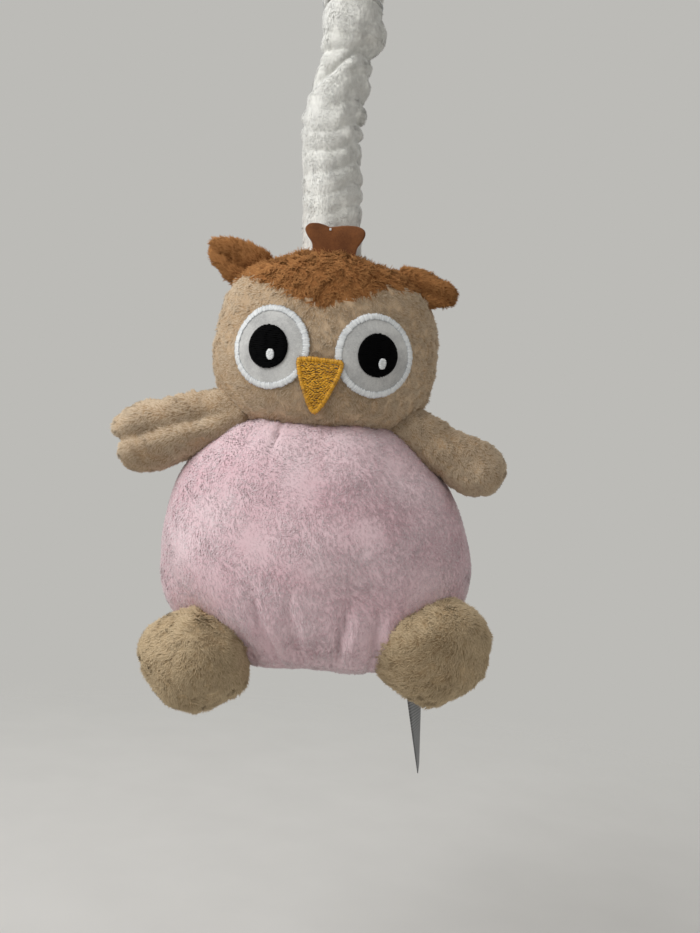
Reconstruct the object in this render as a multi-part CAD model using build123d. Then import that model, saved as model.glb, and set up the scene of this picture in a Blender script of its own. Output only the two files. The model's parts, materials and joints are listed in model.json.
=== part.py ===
from build123d import *
import os
from math import acos, cos, degrees, hypot, pi, radians, sin, tan

# A musical crib hanger: a plush owl on a cord. The origin is the centre of the rail loop,
# +Z is up the cord, the owl faces -Y and +X is to its viewer's right. Sizes are millimetres.

# Fits and gaps
running_gap = 0.05          # radial play of an arbor in its hole
seam_gap = 0.4              # room between a sewn limb and what it flexes against
patch_gap = 0.3             # between the hook patch and the loop patch when closed
cloth = 1.4                 # pile cloth of the owl, backing and nap together

# Rail loop: a strap that closes over a crib rail, angles from the back over the top
rail_radius = 18.0
strap_width = 25.0
strap_thickness = 2.0
strap_gap_from = 70.0
strap_gap_to = 160.0
patch_thickness = 1.2
patch_length_angle = 28.0
flap_lap_angle = 30.0
hem_angle = 11.0            # folded hem that carries the root of the flap

# Collar, cord and gathered sleeve
collar_bottom = -30.0
collar_top = -15.0
sleeve_radius = 12.5
sleeve_cloth = 1.2
cord_radius = 1.0
knot_radius = 2.2
toggle_radius = 3.6
toggle_height = 4.5
toggle_bottom = -27.0

# Head
crown_top = -129.5
head_height = 73.5
head_width = 92.0
head_depth = 76.0
head_x = 1.5
head_profile = [(0, 0.33), (0.04, 0.52), (0.12, 0.74), (0.28, 0.93), (0.55, 1.0),
                (0.78, 0.95), (0.92, 0.82), (1, 0.64)]
crown_side_drop = 14.5      # from the crown's top to the lower edge of its panel at the sides
crown_point_drop = 28.5     # and at the panel's point over the beak
crest_width = 24.0
crest_height = 8.6
crest_tuck = 4.0
crest_thickness = 1.5

# Face, sewn on the front of the head
eye_spacing = 42.0
eye_drop = 45.0             # eyes below the crown's top
eye_radius = 16.0
rim_width = 2.9
felt = 0.8
pupil_radius = 8.2
catchlight_width = 3.5
catchlight_height = 4.4
catchlight_across = 1.5     # from the middle of the pupil
catchlight_up = -3.0
stitch = 0.6                # how far the embroidery stands above the felt
beak_width = 17.5
beak_drop = 48.5            # top of the beak below the crown's top
beak_length = 20.5
beak_border_width = 1.8
beak_bulge = 1.6

# Ears: base centre from the head's middle, length and the angle that each one takes
ear_base_x = 32.5
ear_drop = 11.0             # ears below the crown's top
ear_root_radius = 8.0
ear_tip_radius = 3.2
ear_length = 23.0
ear_thickness = 8.0
ear_angle_left = 152.0
ear_angle_right = 3.0
ear_swing = 15.0

# Body
body_height = 98.0
body_width = 128.0
body_depth = 100.0
body_lean = 8.0             # how far the base sits to the right of the neck
body_profile = [(0, 0.47), (0.10, 0.66), (0.27, 0.885), (0.53, 1.0), (0.78, 0.93),
                (0.93, 0.74), (1, 0.52)]

# Wings
shoulder_x = 30.0
shoulder_drop = -5.0        # below the neck seam
wing_y = -8.0
wing_root_radius = 9.5
wing_tip_radius = 13.5
wing_length = 54.0
wing_thickness = 21.0
wing_droop_left = 17.0
wing_droop_right = 21.0
wing_down = 15.0
wing_up = 25.0

# Feet
foot_radius = 21.5
foot_y = -26.0
foot_left_x = -38.0
foot_right_x = 53.5
foot_left_rise = 5.0        # middle of the left foot above the body's base
foot_right_rise = 15.0
foot_back_swing = 10.0
foot_front_swing = 25.0

# Care label, a bare folded tape behind the right foot
label_width = 15.0
label_length = 45.0
label_thickness = 0.8
label_share = 0.72          # how far out along the body's half width it is sewn
label_y = 11.0
label_rise = 5.0            # sewn edge above the base

# Music movement: a sprung cord reel drives a pinned drum, and a fan holds its speed
reel_drop = 35.0            # reel arbor below the neck seam
barrel_radius = 11.0
barrel_wall = 1.5
reel_flange_radius = 14.4
reel_flange = 1.2
reel_front = -6.5
reel_back = 6.5
gear_thickness = 2.5
hub_radius = 3.0
main_module = 0.8
reel_teeth = 36
drum_pinion_teeth = 24
drum_direction = 228.0      # from the reel arbor to the drum arbor
fine_module = 0.5
drum_wheel_teeth = 40
idler_pinion_teeth = 12
idler_direction = -30.0
idler_wheel_teeth = 20
fan_pinion_teeth = 12
fan_direction = 10.0
tooth_thinning = 0.05       # backlash taken off each flank
reel_arbor_radius = 1.5
drum_arbor_radius = 1.0
fine_arbor_radius = 0.8
arbor_overhang = 0.4        # arbor ends beyond the plates
wheel_y = -12.0             # front face of the drum wheel
fine_wheel_y = -9.2         # front face of the idler wheel
fine_thickness = 1.6
drum_radius = 7.0
drum_wall = 0.8
drum_front = -7.0
drum_back = 6.2
drum_hub_radius = 2.2
pin_radius = 0.22
pin_height = 0.5
comb_teeth = 12
comb_clearance = 0.1
comb_thickness = 1.0
comb_tooth_length = 7.0
comb_base = 7.5
comb_slit = 0.3
comb_block_height = 4.0
comb_screw_offset = 4.0     # each screw from the middle of the comb
fan_radius = 5.4
fan_front = -6.5
fan_back = 6.0
blade_thickness = 0.6
spring_thickness = 0.4
spring_pitch = 1.1
spring_hub_gap = 0.5
spring_room = 0.65          # left free between the spring and the barrel
winding_turns = 4
winding_pitch = 2.3

# Movement frame and case
plate_spacing = 26.0
plate_thickness = 1.2
plate_margin = 1.0          # from the plates to the inside of the case
pillar_radius = 1.5
pillar_top_x = -12.0
pillar_top_rise = 11.0      # above the reel arbor
pillar_wheel_gap = 4.0      # from the drum wheel to the middle of the low pillar
pillar_low_direction = 224.0
pillar_reel_gap = 6.0       # from the reel's flange to the middle of the right pillar
pillar_right_direction = -43.0
screw_radius = 1.1
case_width = 62.0
case_height = 51.0
case_wall = 1.8
case_corner = 9.0
case_edge = 2.0
case_x = 1.5
case_drop = 7.3             # middle of the case below the reel arbor
boss_radius = 3.0
boss_inset = 6.0
screw_head_radius = 2.3
screw_head = 1.4
eyelet_flange = 0.8
eyelet_flange_radius = 3.4
eyelet_wall = 0.7
eyelet_bore = 1.5
tunnel_bore = 1.6
tunnel_wall = 1.0

# Worked out from the sizes above
strap_outer = rail_radius + strap_thickness
flap_inner = strap_outer + 2 * patch_thickness + patch_gap
cord_path_radius = barrel_radius + running_gap + cord_radius
neck_z = crown_top - head_height
base_z = neck_z - body_height
crown_side_z = crown_top - crown_side_drop
crown_point_z = crown_top - crown_point_drop
eye_z = crown_top - eye_drop
beak_top_z = crown_top - beak_drop
ear_base_z = crown_top - ear_drop
foot_left = (foot_left_x, foot_y, base_z + foot_left_rise)
foot_right = (foot_right_x, foot_y, base_z + foot_right_rise)
reel_z = neck_z - reel_drop
spring_start = hub_radius + spring_hub_gap
spring_end = barrel_radius - barrel_wall - spring_room - spring_thickness
spring_half_turns = int((spring_end - spring_start) / (spring_pitch / 2) + running_gap)
case_z = reel_z - case_drop
plate_inner = plate_spacing / 2
plate_outer = plate_inner + plate_thickness
case_depth = 2 * (plate_outer + plate_margin + case_wall)
case_top = case_z + case_height / 2


def polar(distance, angle):
    """A point in the front view, x and z, from its distance and angle."""
    return distance * cos(radians(angle)), distance * sin(radians(angle))


def flat(sketch, y_front, y_back):
    """A front-view outline (x right, z up) made solid between two depths."""
    return extrude(Plane.XZ.offset(-y_back) * sketch, amount=y_back - y_front)


def rod(x, z, radius, y_front, y_back):
    """A round bar along Y."""
    return flat(Pos(x, z) * Circle(radius), y_front, y_back)


def upright(radius, z_low, z_high):
    """A round bar along Z on the cord's line."""
    return extrude(Plane.XY.offset(z_low) * Circle(radius), amount=z_high - z_low)


def pie(radius, angle_from, angle_to):
    """A slice of a disc about the origin."""
    middle = (angle_from + angle_to) / 2
    start = polar(radius, angle_from)
    end = polar(radius, angle_to)
    arc = ThreePointArc(start, polar(radius, middle), end)
    return make_face([Line((0, 0), start), arc, Line(end, (0, 0))])


# Rail loop -------------------------------------------------------------------

def strap_band(r_inner, r_outer, angle_from, angle_to):
    """Part of a ring about X: angles run from the back (+Y) over the top (+Z)."""
    middle = (angle_from + angle_to) / 2
    outer = ThreePointArc(*(polar(r_outer, a) for a in (angle_from, middle, angle_to)))
    inner = ThreePointArc(*(polar(r_inner, a) for a in (angle_to, middle, angle_from)))
    ring = make_face([outer, Line(outer @ 1, inner @ 0), inner, Line(inner @ 1, outer @ 0)])
    return extrude(Plane.YZ.offset(-strap_width / 2) * ring, amount=strap_width)


def rail_strap():
    loop = strap_band(rail_radius, strap_outer, strap_gap_to - 360, strap_gap_from)
    hem = strap_band(rail_radius, flap_inner - patch_gap, strap_gap_from - hem_angle, strap_gap_from)
    return loop + hem


def loop_patch():
    return strap_band(strap_outer, strap_outer + patch_thickness, strap_gap_to + 1,
                      strap_gap_to + 1 + patch_length_angle)


def hook_patch():
    return strap_band(flap_inner - patch_thickness, flap_inner, strap_gap_to + 1,
                      strap_gap_to + 1 + patch_length_angle)


def flap_hinge():
    """Middle of the flap's rolled root, as y and z."""
    return polar(flap_inner + strap_thickness / 2, strap_gap_from - hem_angle / 2)


def strap_flap():
    y, z = flap_hinge()
    band = strap_band(flap_inner, flap_inner + strap_thickness, strap_gap_from - hem_angle / 2,
                      strap_gap_to + flap_lap_angle)
    bead = Plane.YZ.offset(-strap_width / 2) * Pos(y, z) * Circle(strap_thickness / 2)
    return band + extrude(bead, amount=strap_width)


# Collar, cord and sleeve -----------------------------------------------------

def sleeve_collar():
    collar = upright(sleeve_radius, collar_bottom, collar_top)
    rail = extrude(Plane.YZ.offset(-strap_width) * Circle(strap_outer), amount=2 * strap_width)
    return collar - rail - upright(toggle_radius + running_gap, collar_bottom, collar_top)


def cord_anchor():
    return upright(toggle_radius, toggle_bottom, toggle_bottom + toggle_height) - upright(
        cord_radius, toggle_bottom, toggle_bottom + toggle_height)


def pull_cord():
    """The knot, the straight cord and the half turn that hugs the reel."""
    knot_z = toggle_bottom + toggle_height
    knot = Pos(0, 0, knot_z) * Sphere(knot_radius)
    knot -= upright(2 * knot_radius, knot_z - knot_radius, knot_z)
    straight = upright(cord_radius, reel_z, knot_z)
    reel_axis = Axis((cord_path_radius, 0, reel_z), (0, -1, 0))
    half_turn = revolve(Plane.XY.offset(reel_z) * Circle(cord_radius), axis=reel_axis,
                        revolution_arc=180)
    return knot + straight + half_turn


def sleeve():
    low = crown_top + seam_gap
    return upright(sleeve_radius, low, collar_bottom) - upright(
        sleeve_radius - sleeve_cloth, low, collar_bottom)


# Soft forms ------------------------------------------------------------------

def soft_form(top, height, width, depth, x, lean, profile, proud=0.0):
    """Ellipses lofted down a profile of (share of the height, share of the width)."""
    stretch = (height + 2 * proud) / height
    sections = []
    for down, share in profile:
        z = top + proud - down * height * stretch
        outline = Ellipse(width / 2 * share + proud, depth / 2 * share + proud)
        sections.append(Pos(x + lean * down, 0, z) * outline)
    return loft(sections)


def head_form(proud=0.0):
    return soft_form(crown_top, head_height, head_width, head_depth, head_x, 0,
                     head_profile, proud)


def body_form(proud=0.0):
    return soft_form(neck_z, body_height, body_width, body_depth, head_x, body_lean,
                     body_profile, proud)


def limb_outline(root_radius, tip_radius, length, angle, growth=0.0):
    """A rounded limb seen from the front, its root at the origin."""
    root = Circle(root_radius + growth)
    tip = Pos(length - tip_radius, 0) * Circle(tip_radius + growth)
    return Rot(Z=angle) * make_hull(root.edges() + tip.edges())


def limb(root_radius, tip_radius, length, thickness, angle, x, y, z, growth=0.0):
    """A stuffed limb with rounded faces; negative growth gives its stuffing."""
    outline = Pos(x, z) * limb_outline(root_radius, tip_radius, length, angle, growth)
    half = thickness / 2 + growth
    form = flat(outline, y - half, y + half)
    rims = form.edges() - form.edges().filter_by(Axis.Y)
    return fillet(rims, 0.72 * min(half, root_radius + growth, tip_radius + growth))


def limb_pocket(root_radius, tip_radius, length, thickness, low, high, x, y, z, room):
    """The space that a limb sweeps between two angles, with room round it."""
    swept = limb_outline(root_radius, tip_radius, length, low, room)
    swept += limb_outline(root_radius, tip_radius, length, high, room)
    swept += pie(length + room, low, high)
    half = thickness / 2 + room
    return flat(Pos(x, z) * swept, y - half, y + half)


def wing_places():
    """Each wing's hinge x, its rest angle and the angles that it swings between."""
    right = -wing_droop_right
    left = 180 + wing_droop_left
    return {
        "right": (head_x + shoulder_x, right, right - wing_down, right + wing_up),
        "left": (head_x - shoulder_x, left, left - wing_up, left + wing_down),
    }


def ear_places():
    places = {}
    for side, sign, rest in (("right", 1, ear_angle_right), ("left", -1, ear_angle_left)):
        places[side] = (head_x + sign * ear_base_x, rest, rest - ear_swing, rest + ear_swing)
    return places


def wing_solids(side):
    x, rest, low, high = wing_places()[side]
    sizes = (wing_root_radius, wing_tip_radius, wing_length, wing_thickness)
    place = (x, wing_y, neck_z - shoulder_drop)
    whole = limb(*sizes, rest, *place)
    filling = limb(*sizes, rest, *place, growth=-cloth)
    return whole - filling, filling


def ear_solid(side):
    x, rest, low, high = ear_places()[side]
    return limb(ear_root_radius, ear_tip_radius, ear_length, ear_thickness, rest,
                x, 0, ear_base_z)


def foot_centre(side):
    return {"left": foot_left, "right": foot_right}[side]


def foot_hinge(side):
    """Seam of a foot: the point of the ball that faces the middle of the body, as y and z."""
    x, y, z = foot_centre(side)
    up = (neck_z + base_z) / 2 - z
    reach = hypot(y, up)
    return y - foot_radius * y / reach, z + foot_radius * up / reach


def foot_ball(side, radius, swing=0.0):
    """The foot's ball, swung forward about its seam."""
    x, y, z = foot_centre(side)
    hinge_y, hinge_z = foot_hinge(side)
    ball = Pos(x, y, z) * Sphere(radius)
    return ball.rotate(Axis((0, hinge_y, hinge_z), (-1, 0, 0)), swing)


def foot_pocket(side, room):
    steps = 7
    reach = foot_back_swing + foot_front_swing
    pocket = foot_ball(side, foot_radius + room, -foot_back_swing)
    for step in range(1, steps):
        pocket += foot_ball(side, foot_radius + room, step * reach / (steps - 1) - foot_back_swing)
    return pocket


def limb_pockets(room):
    """Everything that has to stay clear of the head and the body."""
    pockets = []
    for side in ("left", "right"):
        x, rest, low, high = wing_places()[side]
        pockets.append(limb_pocket(wing_root_radius, wing_tip_radius, wing_length, wing_thickness,
                                   low, high, x, wing_y, neck_z - shoulder_drop, room))
        x, rest, low, high = ear_places()[side]
        pockets.append(limb_pocket(ear_root_radius, ear_tip_radius, ear_length, ear_thickness,
                                   low, high, x, 0, ear_base_z, room))
        pockets.append(foot_pocket(side, room))
    return pockets


# Head and face ---------------------------------------------------------------

def crown_region():
    """Everything above the crown panel's lower edge, a shallow point over the beak."""
    side = head_width
    top = crown_top + 2 * cloth
    drop = (crown_side_z - crown_point_z) * side / (head_width / 2)
    edge = [(head_x - side, crown_point_z + drop), (head_x, crown_point_z),
            (head_x + side, crown_point_z + drop)]
    corner_z = max(top, crown_point_z + drop) + cloth
    outline = make_face(Polyline(*edge, (head_x + side, corner_z), (head_x - side, corner_z),
                                 close=True))
    return flat(outline, -head_depth, head_depth)


def face_plane(x, z):
    """A plane on the front of the head whose normal leaves the surface at x and z."""
    half_width = head_width / 2
    half_depth = head_depth / 2
    offset = x - head_x
    y = -half_depth * (1 - (offset / half_width) ** 2) ** 0.5
    normal = (offset / half_width ** 2, y / half_depth ** 2, 0)
    return Plane(origin=(x, y, z), x_dir=(-normal[1], normal[0], 0), z_dir=normal)


def applique(outline, plane, low, high):
    """A layer of cloth or stitches on the head, between two heights above its surface."""
    block = extrude(plane * outline, amount=head_depth / 4, both=True)
    return (head_form(high) & block) - head_form(low)


def eye_solids(sign):
    """Felt disc, satin-stitched rim, pupil and catchlight of one eye."""
    plane = face_plane(head_x + sign * eye_spacing / 2, eye_z)
    inner = eye_radius - rim_width
    rim = applique(Circle(eye_radius) - Circle(inner), plane, 0, felt + stitch)
    disc = applique(Circle(inner) - Circle(pupil_radius), plane, 0, felt)
    glint_outline = Pos(catchlight_across, catchlight_up) * Ellipse(
        catchlight_width / 2, catchlight_height / 2)
    pupil = applique(Circle(pupil_radius) - glint_outline, plane, 0, felt + stitch)
    glint = applique(glint_outline, plane, 0, felt + 2 * stitch)
    return disc, rim, pupil, glint


def beak_outline(inset):
    """A rounded triangle, point down, its sides a little bulged."""
    half = beak_width / 2 - inset
    top = -inset
    tip = -beak_length + 1.6 * inset
    left, right, low = (-half, top), (half, top), (0, tip)
    side = (half / 2 + beak_bulge, (top + tip) / 2)
    return make_face([ThreePointArc(left, (0, top + beak_bulge / 2), right),
                      ThreePointArc(right, side, low),
                      ThreePointArc(low, (-side[0], side[1]), left)])


def beak_solids(eyes):
    plane = Plane(origin=(head_x, -head_depth / 2, beak_top_z), x_dir=(1, 0, 0),
                  z_dir=(0, -1, 0))
    centre = beak_outline(beak_border_width)
    beak = applique(centre, plane, 0, felt + 2 * stitch)
    border = applique(beak_outline(0) - centre, plane, 0, felt + 3 * stitch)
    for piece in eyes:
        beak -= piece
        border -= piece
    return beak, border


def crest_felt():
    """A heart-topped felt tab that stands in front of the foot of the sleeve."""
    lobe = crest_width / 4
    y = -(sleeve_radius + seam_gap)
    outline = Rectangle(crest_width - 2.5, crest_height - lobe + crest_tuck,
                        align=(Align.CENTER, Align.MIN))
    for sign in (-1, 1):
        outline += Pos(sign * lobe, crest_height - lobe + crest_tuck) * Circle(lobe)
    return flat(Pos(head_x, crown_top - crest_tuck) * outline, y - crest_thickness, y)


def cord_tunnel():
    bottom = case_top + eyelet_flange
    top = crown_top - cloth
    return upright(tunnel_bore + tunnel_wall, bottom, top) - upright(tunnel_bore, bottom, top)


def head_solids(face, crest):
    """Tan cover, brown crown panel and the stuffing inside them."""
    whole = head_form()
    core = head_form(-cloth)
    for pocket, deep in zip(limb_pockets(seam_gap), limb_pockets(seam_gap + cloth)):
        whole -= pocket
        core -= deep
    core -= crest
    shell = whole - core - crest - upright(tunnel_bore, neck_z, crown_top)
    crown = crown_region()
    tunnel = upright(tunnel_bore + tunnel_wall, neck_z - cloth, crown_top - cloth)
    return (shell - crown) - tunnel, (shell & crown), core - tunnel


# Body ------------------------------------------------------------------------

def body_solids(case_block):
    """Pink cover, base panel and stuffing with room for the movement."""
    whole = body_form()
    core = body_form(-cloth)
    for pocket, deep in zip(limb_pockets(seam_gap), limb_pockets(seam_gap + cloth)):
        whole -= pocket
        core -= deep
    slab = Pos(head_x, 0, base_z) * Box(4 * body_width, 4 * body_depth, 2 * cloth)
    shell = whole - core
    tunnel = upright(tunnel_bore + tunnel_wall, case_top + eyelet_flange, neck_z)
    eyelet = upright(eyelet_flange_radius, case_top - case_wall, case_top + eyelet_flange)
    stuffing = core - slab - tunnel - eyelet - case_block
    return shell - slab - tunnel, whole & slab, stuffing


def label_place():
    """Sewn edge of the care label, as x and z."""
    return head_x + body_lean + label_share * body_width / 2, base_z + label_rise


def care_label():
    x, z = label_place()
    tape = flat(Pos(x, z - label_length / 2) * Rectangle(label_thickness, label_length),
                label_y - label_width / 2, label_y + label_width / 2)
    return tape + rod(x, z, label_thickness / 2, label_y - label_width / 2,
                      label_y + label_width / 2)


# Gears -----------------------------------------------------------------------

def gear_outline(teeth, module):
    """Stub involute teeth at 20 degrees, one tooth centred on the local x axis."""
    pitch_r = teeth * module / 2
    base_r = pitch_r * cos(radians(20))
    tip_r = pitch_r + 0.8 * module
    root_r = pitch_r - 1.05 * module

    def involute(r):
        slope = acos(min(1.0, base_r / r))
        return tan(slope) - slope

    def flank(r):
        half_tooth = pi / (2 * teeth) - tooth_thinning / pitch_r
        return degrees(half_tooth + involute(pitch_r) - involute(max(r, base_r)))

    foot_r = max(root_r, base_r)
    edges = []
    for tooth in range(teeth):
        middle = tooth * 360 / teeth
        rise = [polar(r, middle - flank(r)) for r in (foot_r, (foot_r + tip_r) / 2, tip_r)]
        fall = [polar(r, middle + flank(r)) for r in (tip_r, (foot_r + tip_r) / 2, foot_r)]
        low = polar(root_r, middle - flank(foot_r))
        last = polar(root_r, middle + flank(foot_r))
        following = polar(root_r, middle + 360 / teeth - flank(foot_r))
        if base_r > root_r:
            edges.append(Line(low, rise[0]))
        edges.append(ThreePointArc(*rise))
        edges.append(Line(rise[2], fall[0]))
        edges.append(ThreePointArc(*fall))
        if base_r > root_r:
            edges.append(Line(fall[2], last))
        edges.append(Line(last, following))
    return make_face(edges)


def gear(teeth, module, x, z, y_front, y_back, turn, bore):
    outline = Rot(Z=turn) * gear_outline(teeth, module) - Circle(bore)
    return flat(Pos(x, z) * outline, y_front, y_back)


def facing_gap(teeth, direction):
    """Turn that puts a gap of this gear on the line back to the gear that drives it."""
    return direction + 180 + 180 / teeth


def arbor_places():
    """Arbor centres of the train as x and z, each a pitch distance from the last."""
    reel = (cord_path_radius, reel_z)
    steps = (("drum", main_module * (reel_teeth + drum_pinion_teeth) / 2, drum_direction),
             ("idler", fine_module * (drum_wheel_teeth + idler_pinion_teeth) / 2, idler_direction),
             ("fan", fine_module * (idler_wheel_teeth + fan_pinion_teeth) / 2, fan_direction))
    places = {"reel": reel}
    last = reel
    for name, distance, direction in steps:
        x, z = polar(distance, direction)
        last = (last[0] + x, last[1] + z)
        places[name] = last
    return places


arbors = arbor_places()


# Rotating parts --------------------------------------------------------------

def reel():
    """Moulded cord reel: front flange, barrel, toothed back flange and hub."""
    x, z = arbors["reel"]
    back = reel_back + gear_thickness
    body = rod(x, z, reel_flange_radius, reel_front - reel_flange, reel_front)
    body += rod(x, z, barrel_radius, reel_front, reel_back)
    body -= rod(x, z, barrel_radius - barrel_wall, reel_front - reel_flange, reel_back)
    body += rod(x, z, hub_radius, reel_front - reel_flange, reel_back)
    body += gear(reel_teeth, main_module, x, z, reel_back, back, drum_direction, hub_radius / 2)
    return body - rod(x, z, reel_arbor_radius + running_gap, reel_front - reel_flange, back)


def mainspring():
    """Coiled strip from the hub outwards, each half turn an arc a little larger."""
    x, z = arbors["reel"]
    outer = []
    inner = []
    for side, edges in ((spring_thickness, outer), (0.0, inner)):
        left = -spring_start - side
        for turn in range(spring_half_turns):
            sign = 1 if turn % 2 == 0 else -1
            reach = spring_start + side + turn * spring_pitch / 2
            centre = left + sign * reach
            edges.append(ThreePointArc((left, 0), (centre, sign * reach), (centre + sign * reach, 0)))
            left = centre + sign * reach
    edges = outer + inner
    edges.append(Line(outer[0] @ 0, inner[0] @ 0))
    edges.append(Line(outer[-1] @ 1, inner[-1] @ 1))
    return flat(Pos(x, z) * make_face(edges), reel_front, reel_back - 1)


def cord_winding():
    """Turns of cord on the reel, on both sides of the turn that leaves it."""
    x, z = arbors["reel"]
    turns = []
    for turn in range(winding_turns):
        side = 1 if turn % 2 == 0 else -1
        y = side * winding_pitch * (turn // 2 + 1)
        ring = Plane((x, y, z), z_dir=(0, 1, 0)) * Torus(cord_path_radius, cord_radius)
        turns.append(ring)
    return Compound(children=turns)


def drum_pins():
    """Short pins scattered over the drum as a tune would set them."""
    x, z = arbors["drum"]
    spacing = (drum_back - drum_front - 1) / comb_teeth
    pins = []
    for row in range(comb_teeth):
        y = drum_front + 0.5 + (row + 0.5) * spacing
        for beat in range(3):
            angle = (row * 53 + beat * 120 + (row * beat * 17) % 60) % 360
            dx, dz = polar(drum_radius - drum_wall / 2, angle)
            stub = Plane((x + dx, y, z + dz), z_dir=(dx, 0, dz)) * Cylinder(
                pin_radius, drum_wall / 2 + pin_height, align=(Align.CENTER, Align.CENTER, Align.MIN))
            pins.append(stub)
    return pins


def pinned_drum():
    x, z = arbors["drum"]
    tube = rod(x, z, drum_radius, drum_front, drum_back)
    tube -= rod(x, z, drum_radius - drum_wall, drum_front + 1, drum_back - 1)
    tube += rod(x, z, drum_hub_radius, drum_front, drum_back)
    tube = tube.fuse(*drum_pins())
    return tube - rod(x, z, drum_arbor_radius, drum_front, drum_back)


def drum_wheel():
    x, z = arbors["drum"]
    return gear(drum_wheel_teeth, fine_module, x, z, wheel_y, wheel_y + 2, idler_direction,
                drum_arbor_radius)


def drum_pinion():
    x, z = arbors["drum"]
    return gear(drum_pinion_teeth, main_module, x, z, reel_back, reel_back + gear_thickness,
                facing_gap(drum_pinion_teeth, drum_direction), drum_arbor_radius)


def drum_arbor():
    x, z = arbors["drum"]
    return rod(x, z, drum_arbor_radius, -plate_outer - arbor_overhang, plate_outer + arbor_overhang)


def idler_pinion():
    """Small pinion cut on its own arbor."""
    x, z = arbors["idler"]
    leaves = gear(idler_pinion_teeth, fine_module, x, z, wheel_y, wheel_y + 2,
                  facing_gap(idler_pinion_teeth, idler_direction), fine_arbor_radius / 2)
    return leaves + rod(x, z, fine_arbor_radius, -plate_outer - arbor_overhang, plate_outer + arbor_overhang)


def idler_wheel():
    x, z = arbors["idler"]
    return gear(idler_wheel_teeth, fine_module, x, z, fine_wheel_y, fine_wheel_y + fine_thickness,
                fan_direction, fine_arbor_radius)


def governor_pinion():
    x, z = arbors["fan"]
    leaves = gear(fan_pinion_teeth, fine_module, x, z, fine_wheel_y, fine_wheel_y + fine_thickness,
                  facing_gap(fan_pinion_teeth, fan_direction), fine_arbor_radius / 2)
    return leaves + rod(x, z, fine_arbor_radius, -plate_outer - arbor_overhang, plate_outer + arbor_overhang)


def governor_fan():
    """Two air-brake blades on a hub."""
    x, z = arbors["fan"]
    blades = flat(Pos(x, z) * Rectangle(2 * fan_radius, blade_thickness), fan_front, fan_back)
    hub = rod(x, z, 2 * fine_arbor_radius, fan_front, fan_back)
    return blades + hub - rod(x, z, fine_arbor_radius, fan_front, fan_back)


# Movement frame and case -----------------------------------------------------

def pillar_places():
    """Three pillars in the corners that the train leaves free, as x and z."""
    drum_x, drum_z = arbors["drum"]
    reel_x = arbors["reel"][0]
    clear = fine_module * drum_wheel_teeth / 2 + pillar_wheel_gap
    low_x, low_z = polar(clear, pillar_low_direction)
    right_x, right_z = polar(reel_flange_radius + pillar_reel_gap, pillar_right_direction)
    return [(pillar_top_x, reel_z + pillar_top_rise), (drum_x + low_x, drum_z + low_z),
            (reel_x + right_x, reel_z + right_z)]


def boss_places():
    across = case_width / 2 - boss_inset
    up = case_height / 2 - boss_inset
    return [(case_x + sx * across, case_z + sz * up) for sx in (-1, 1) for sz in (-1, 1)]


def plate(y_front, y_back):
    """A movement plate with a hole for each arbor and notches round the case bosses."""
    room = case_wall + plate_margin
    outline = Pos(case_x, case_z) * RectangleRounded(
        case_width - 2 * room, case_height - 2 * room, case_corner - room)
    for x, z in boss_places():
        outline -= Pos(x, z) * Circle(boss_radius + plate_margin)
    outline -= Pos(*arbors["reel"]) * Circle(reel_arbor_radius)
    outline -= Pos(*arbors["drum"]) * Circle(drum_arbor_radius + running_gap)
    for name in ("idler", "fan"):
        outline -= Pos(*arbors[name]) * Circle(fine_arbor_radius + running_gap)
    return flat(outline, y_front, y_back)


def plate_pillars():
    pillars = [rod(x, z, pillar_radius, -plate_inner, plate_inner) for x, z in pillar_places()]
    return Compound(children=pillars)


def reel_arbor():
    return rod(*arbors["reel"], reel_arbor_radius, -plate_outer, plate_outer)


def comb_span():
    """Tip, root and back edge of the comb along x, and the height of its top face."""
    drum_x, drum_z = arbors["drum"]
    tip = drum_x - drum_radius - pin_height - comb_clearance
    root = tip - comb_tooth_length
    return tip, root, root - comb_base, drum_z + comb_thickness / 2


def comb():
    tip, root, back, top = comb_span()
    plate_y = (drum_front + drum_back) / 2
    width = drum_back - drum_front
    blank = Pos((tip + back) / 2, plate_y, top - comb_thickness / 2) * Box(
        tip - back, width, comb_thickness)
    spacing = (width - 1) / comb_teeth
    for slot in range(comb_teeth + 1):
        y = drum_front + 0.5 + slot * spacing
        blank -= Pos((tip + root) / 2 + 0.5, y, top) * Box(tip - root + 1, comb_slit, 4 * comb_thickness)
    for x, y in comb_screw_places():
        blank -= Pos(x, y, top) * Cylinder(screw_radius, 4 * comb_thickness)
    return blank


def comb_screw_places():
    tip, root, back, top = comb_span()
    middle = (drum_front + drum_back) / 2
    return [((root + back) / 2, middle + side * comb_screw_offset) for side in (-1, 1)]


def comb_block():
    """Block that lifts the comb off the back plate."""
    tip, root, back, top = comb_span()
    low = top - comb_thickness - comb_block_height
    block = Pos((root + back) / 2, 0, low + comb_block_height / 2) * Box(
        root - back, 2 * plate_inner, comb_block_height)
    block -= Pos((root + back) / 2, -plate_inner, low + comb_block_height / 2) * Box(
        2 * comb_base, 2 * (plate_inner + drum_front), 2 * comb_block_height)
    for x, y in comb_screw_places():
        block -= Pos(x, y, low + comb_block_height) * Cylinder(screw_radius, 2 * comb_block_height)
    return block


def screw(length):
    """Pan-head screw along -Z, its head resting on the origin, with a cross-cut slot."""
    head = Cylinder(screw_head_radius, screw_head, align=(Align.CENTER, Align.CENTER, Align.MIN))
    slot = Box(2.6, 0.6, 0.8) + Box(0.6, 2.6, 0.8)
    head -= Pos(0, 0, screw_head) * slot
    return head + Cylinder(screw_radius, length, align=(Align.CENTER, Align.CENTER, Align.MAX))


def comb_screws():
    top = comb_span()[3]
    length = comb_thickness + comb_block_height - 0.5
    return Compound(children=[Pos(x, y, top) * screw(length) for x, y in comb_screw_places()])


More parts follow.
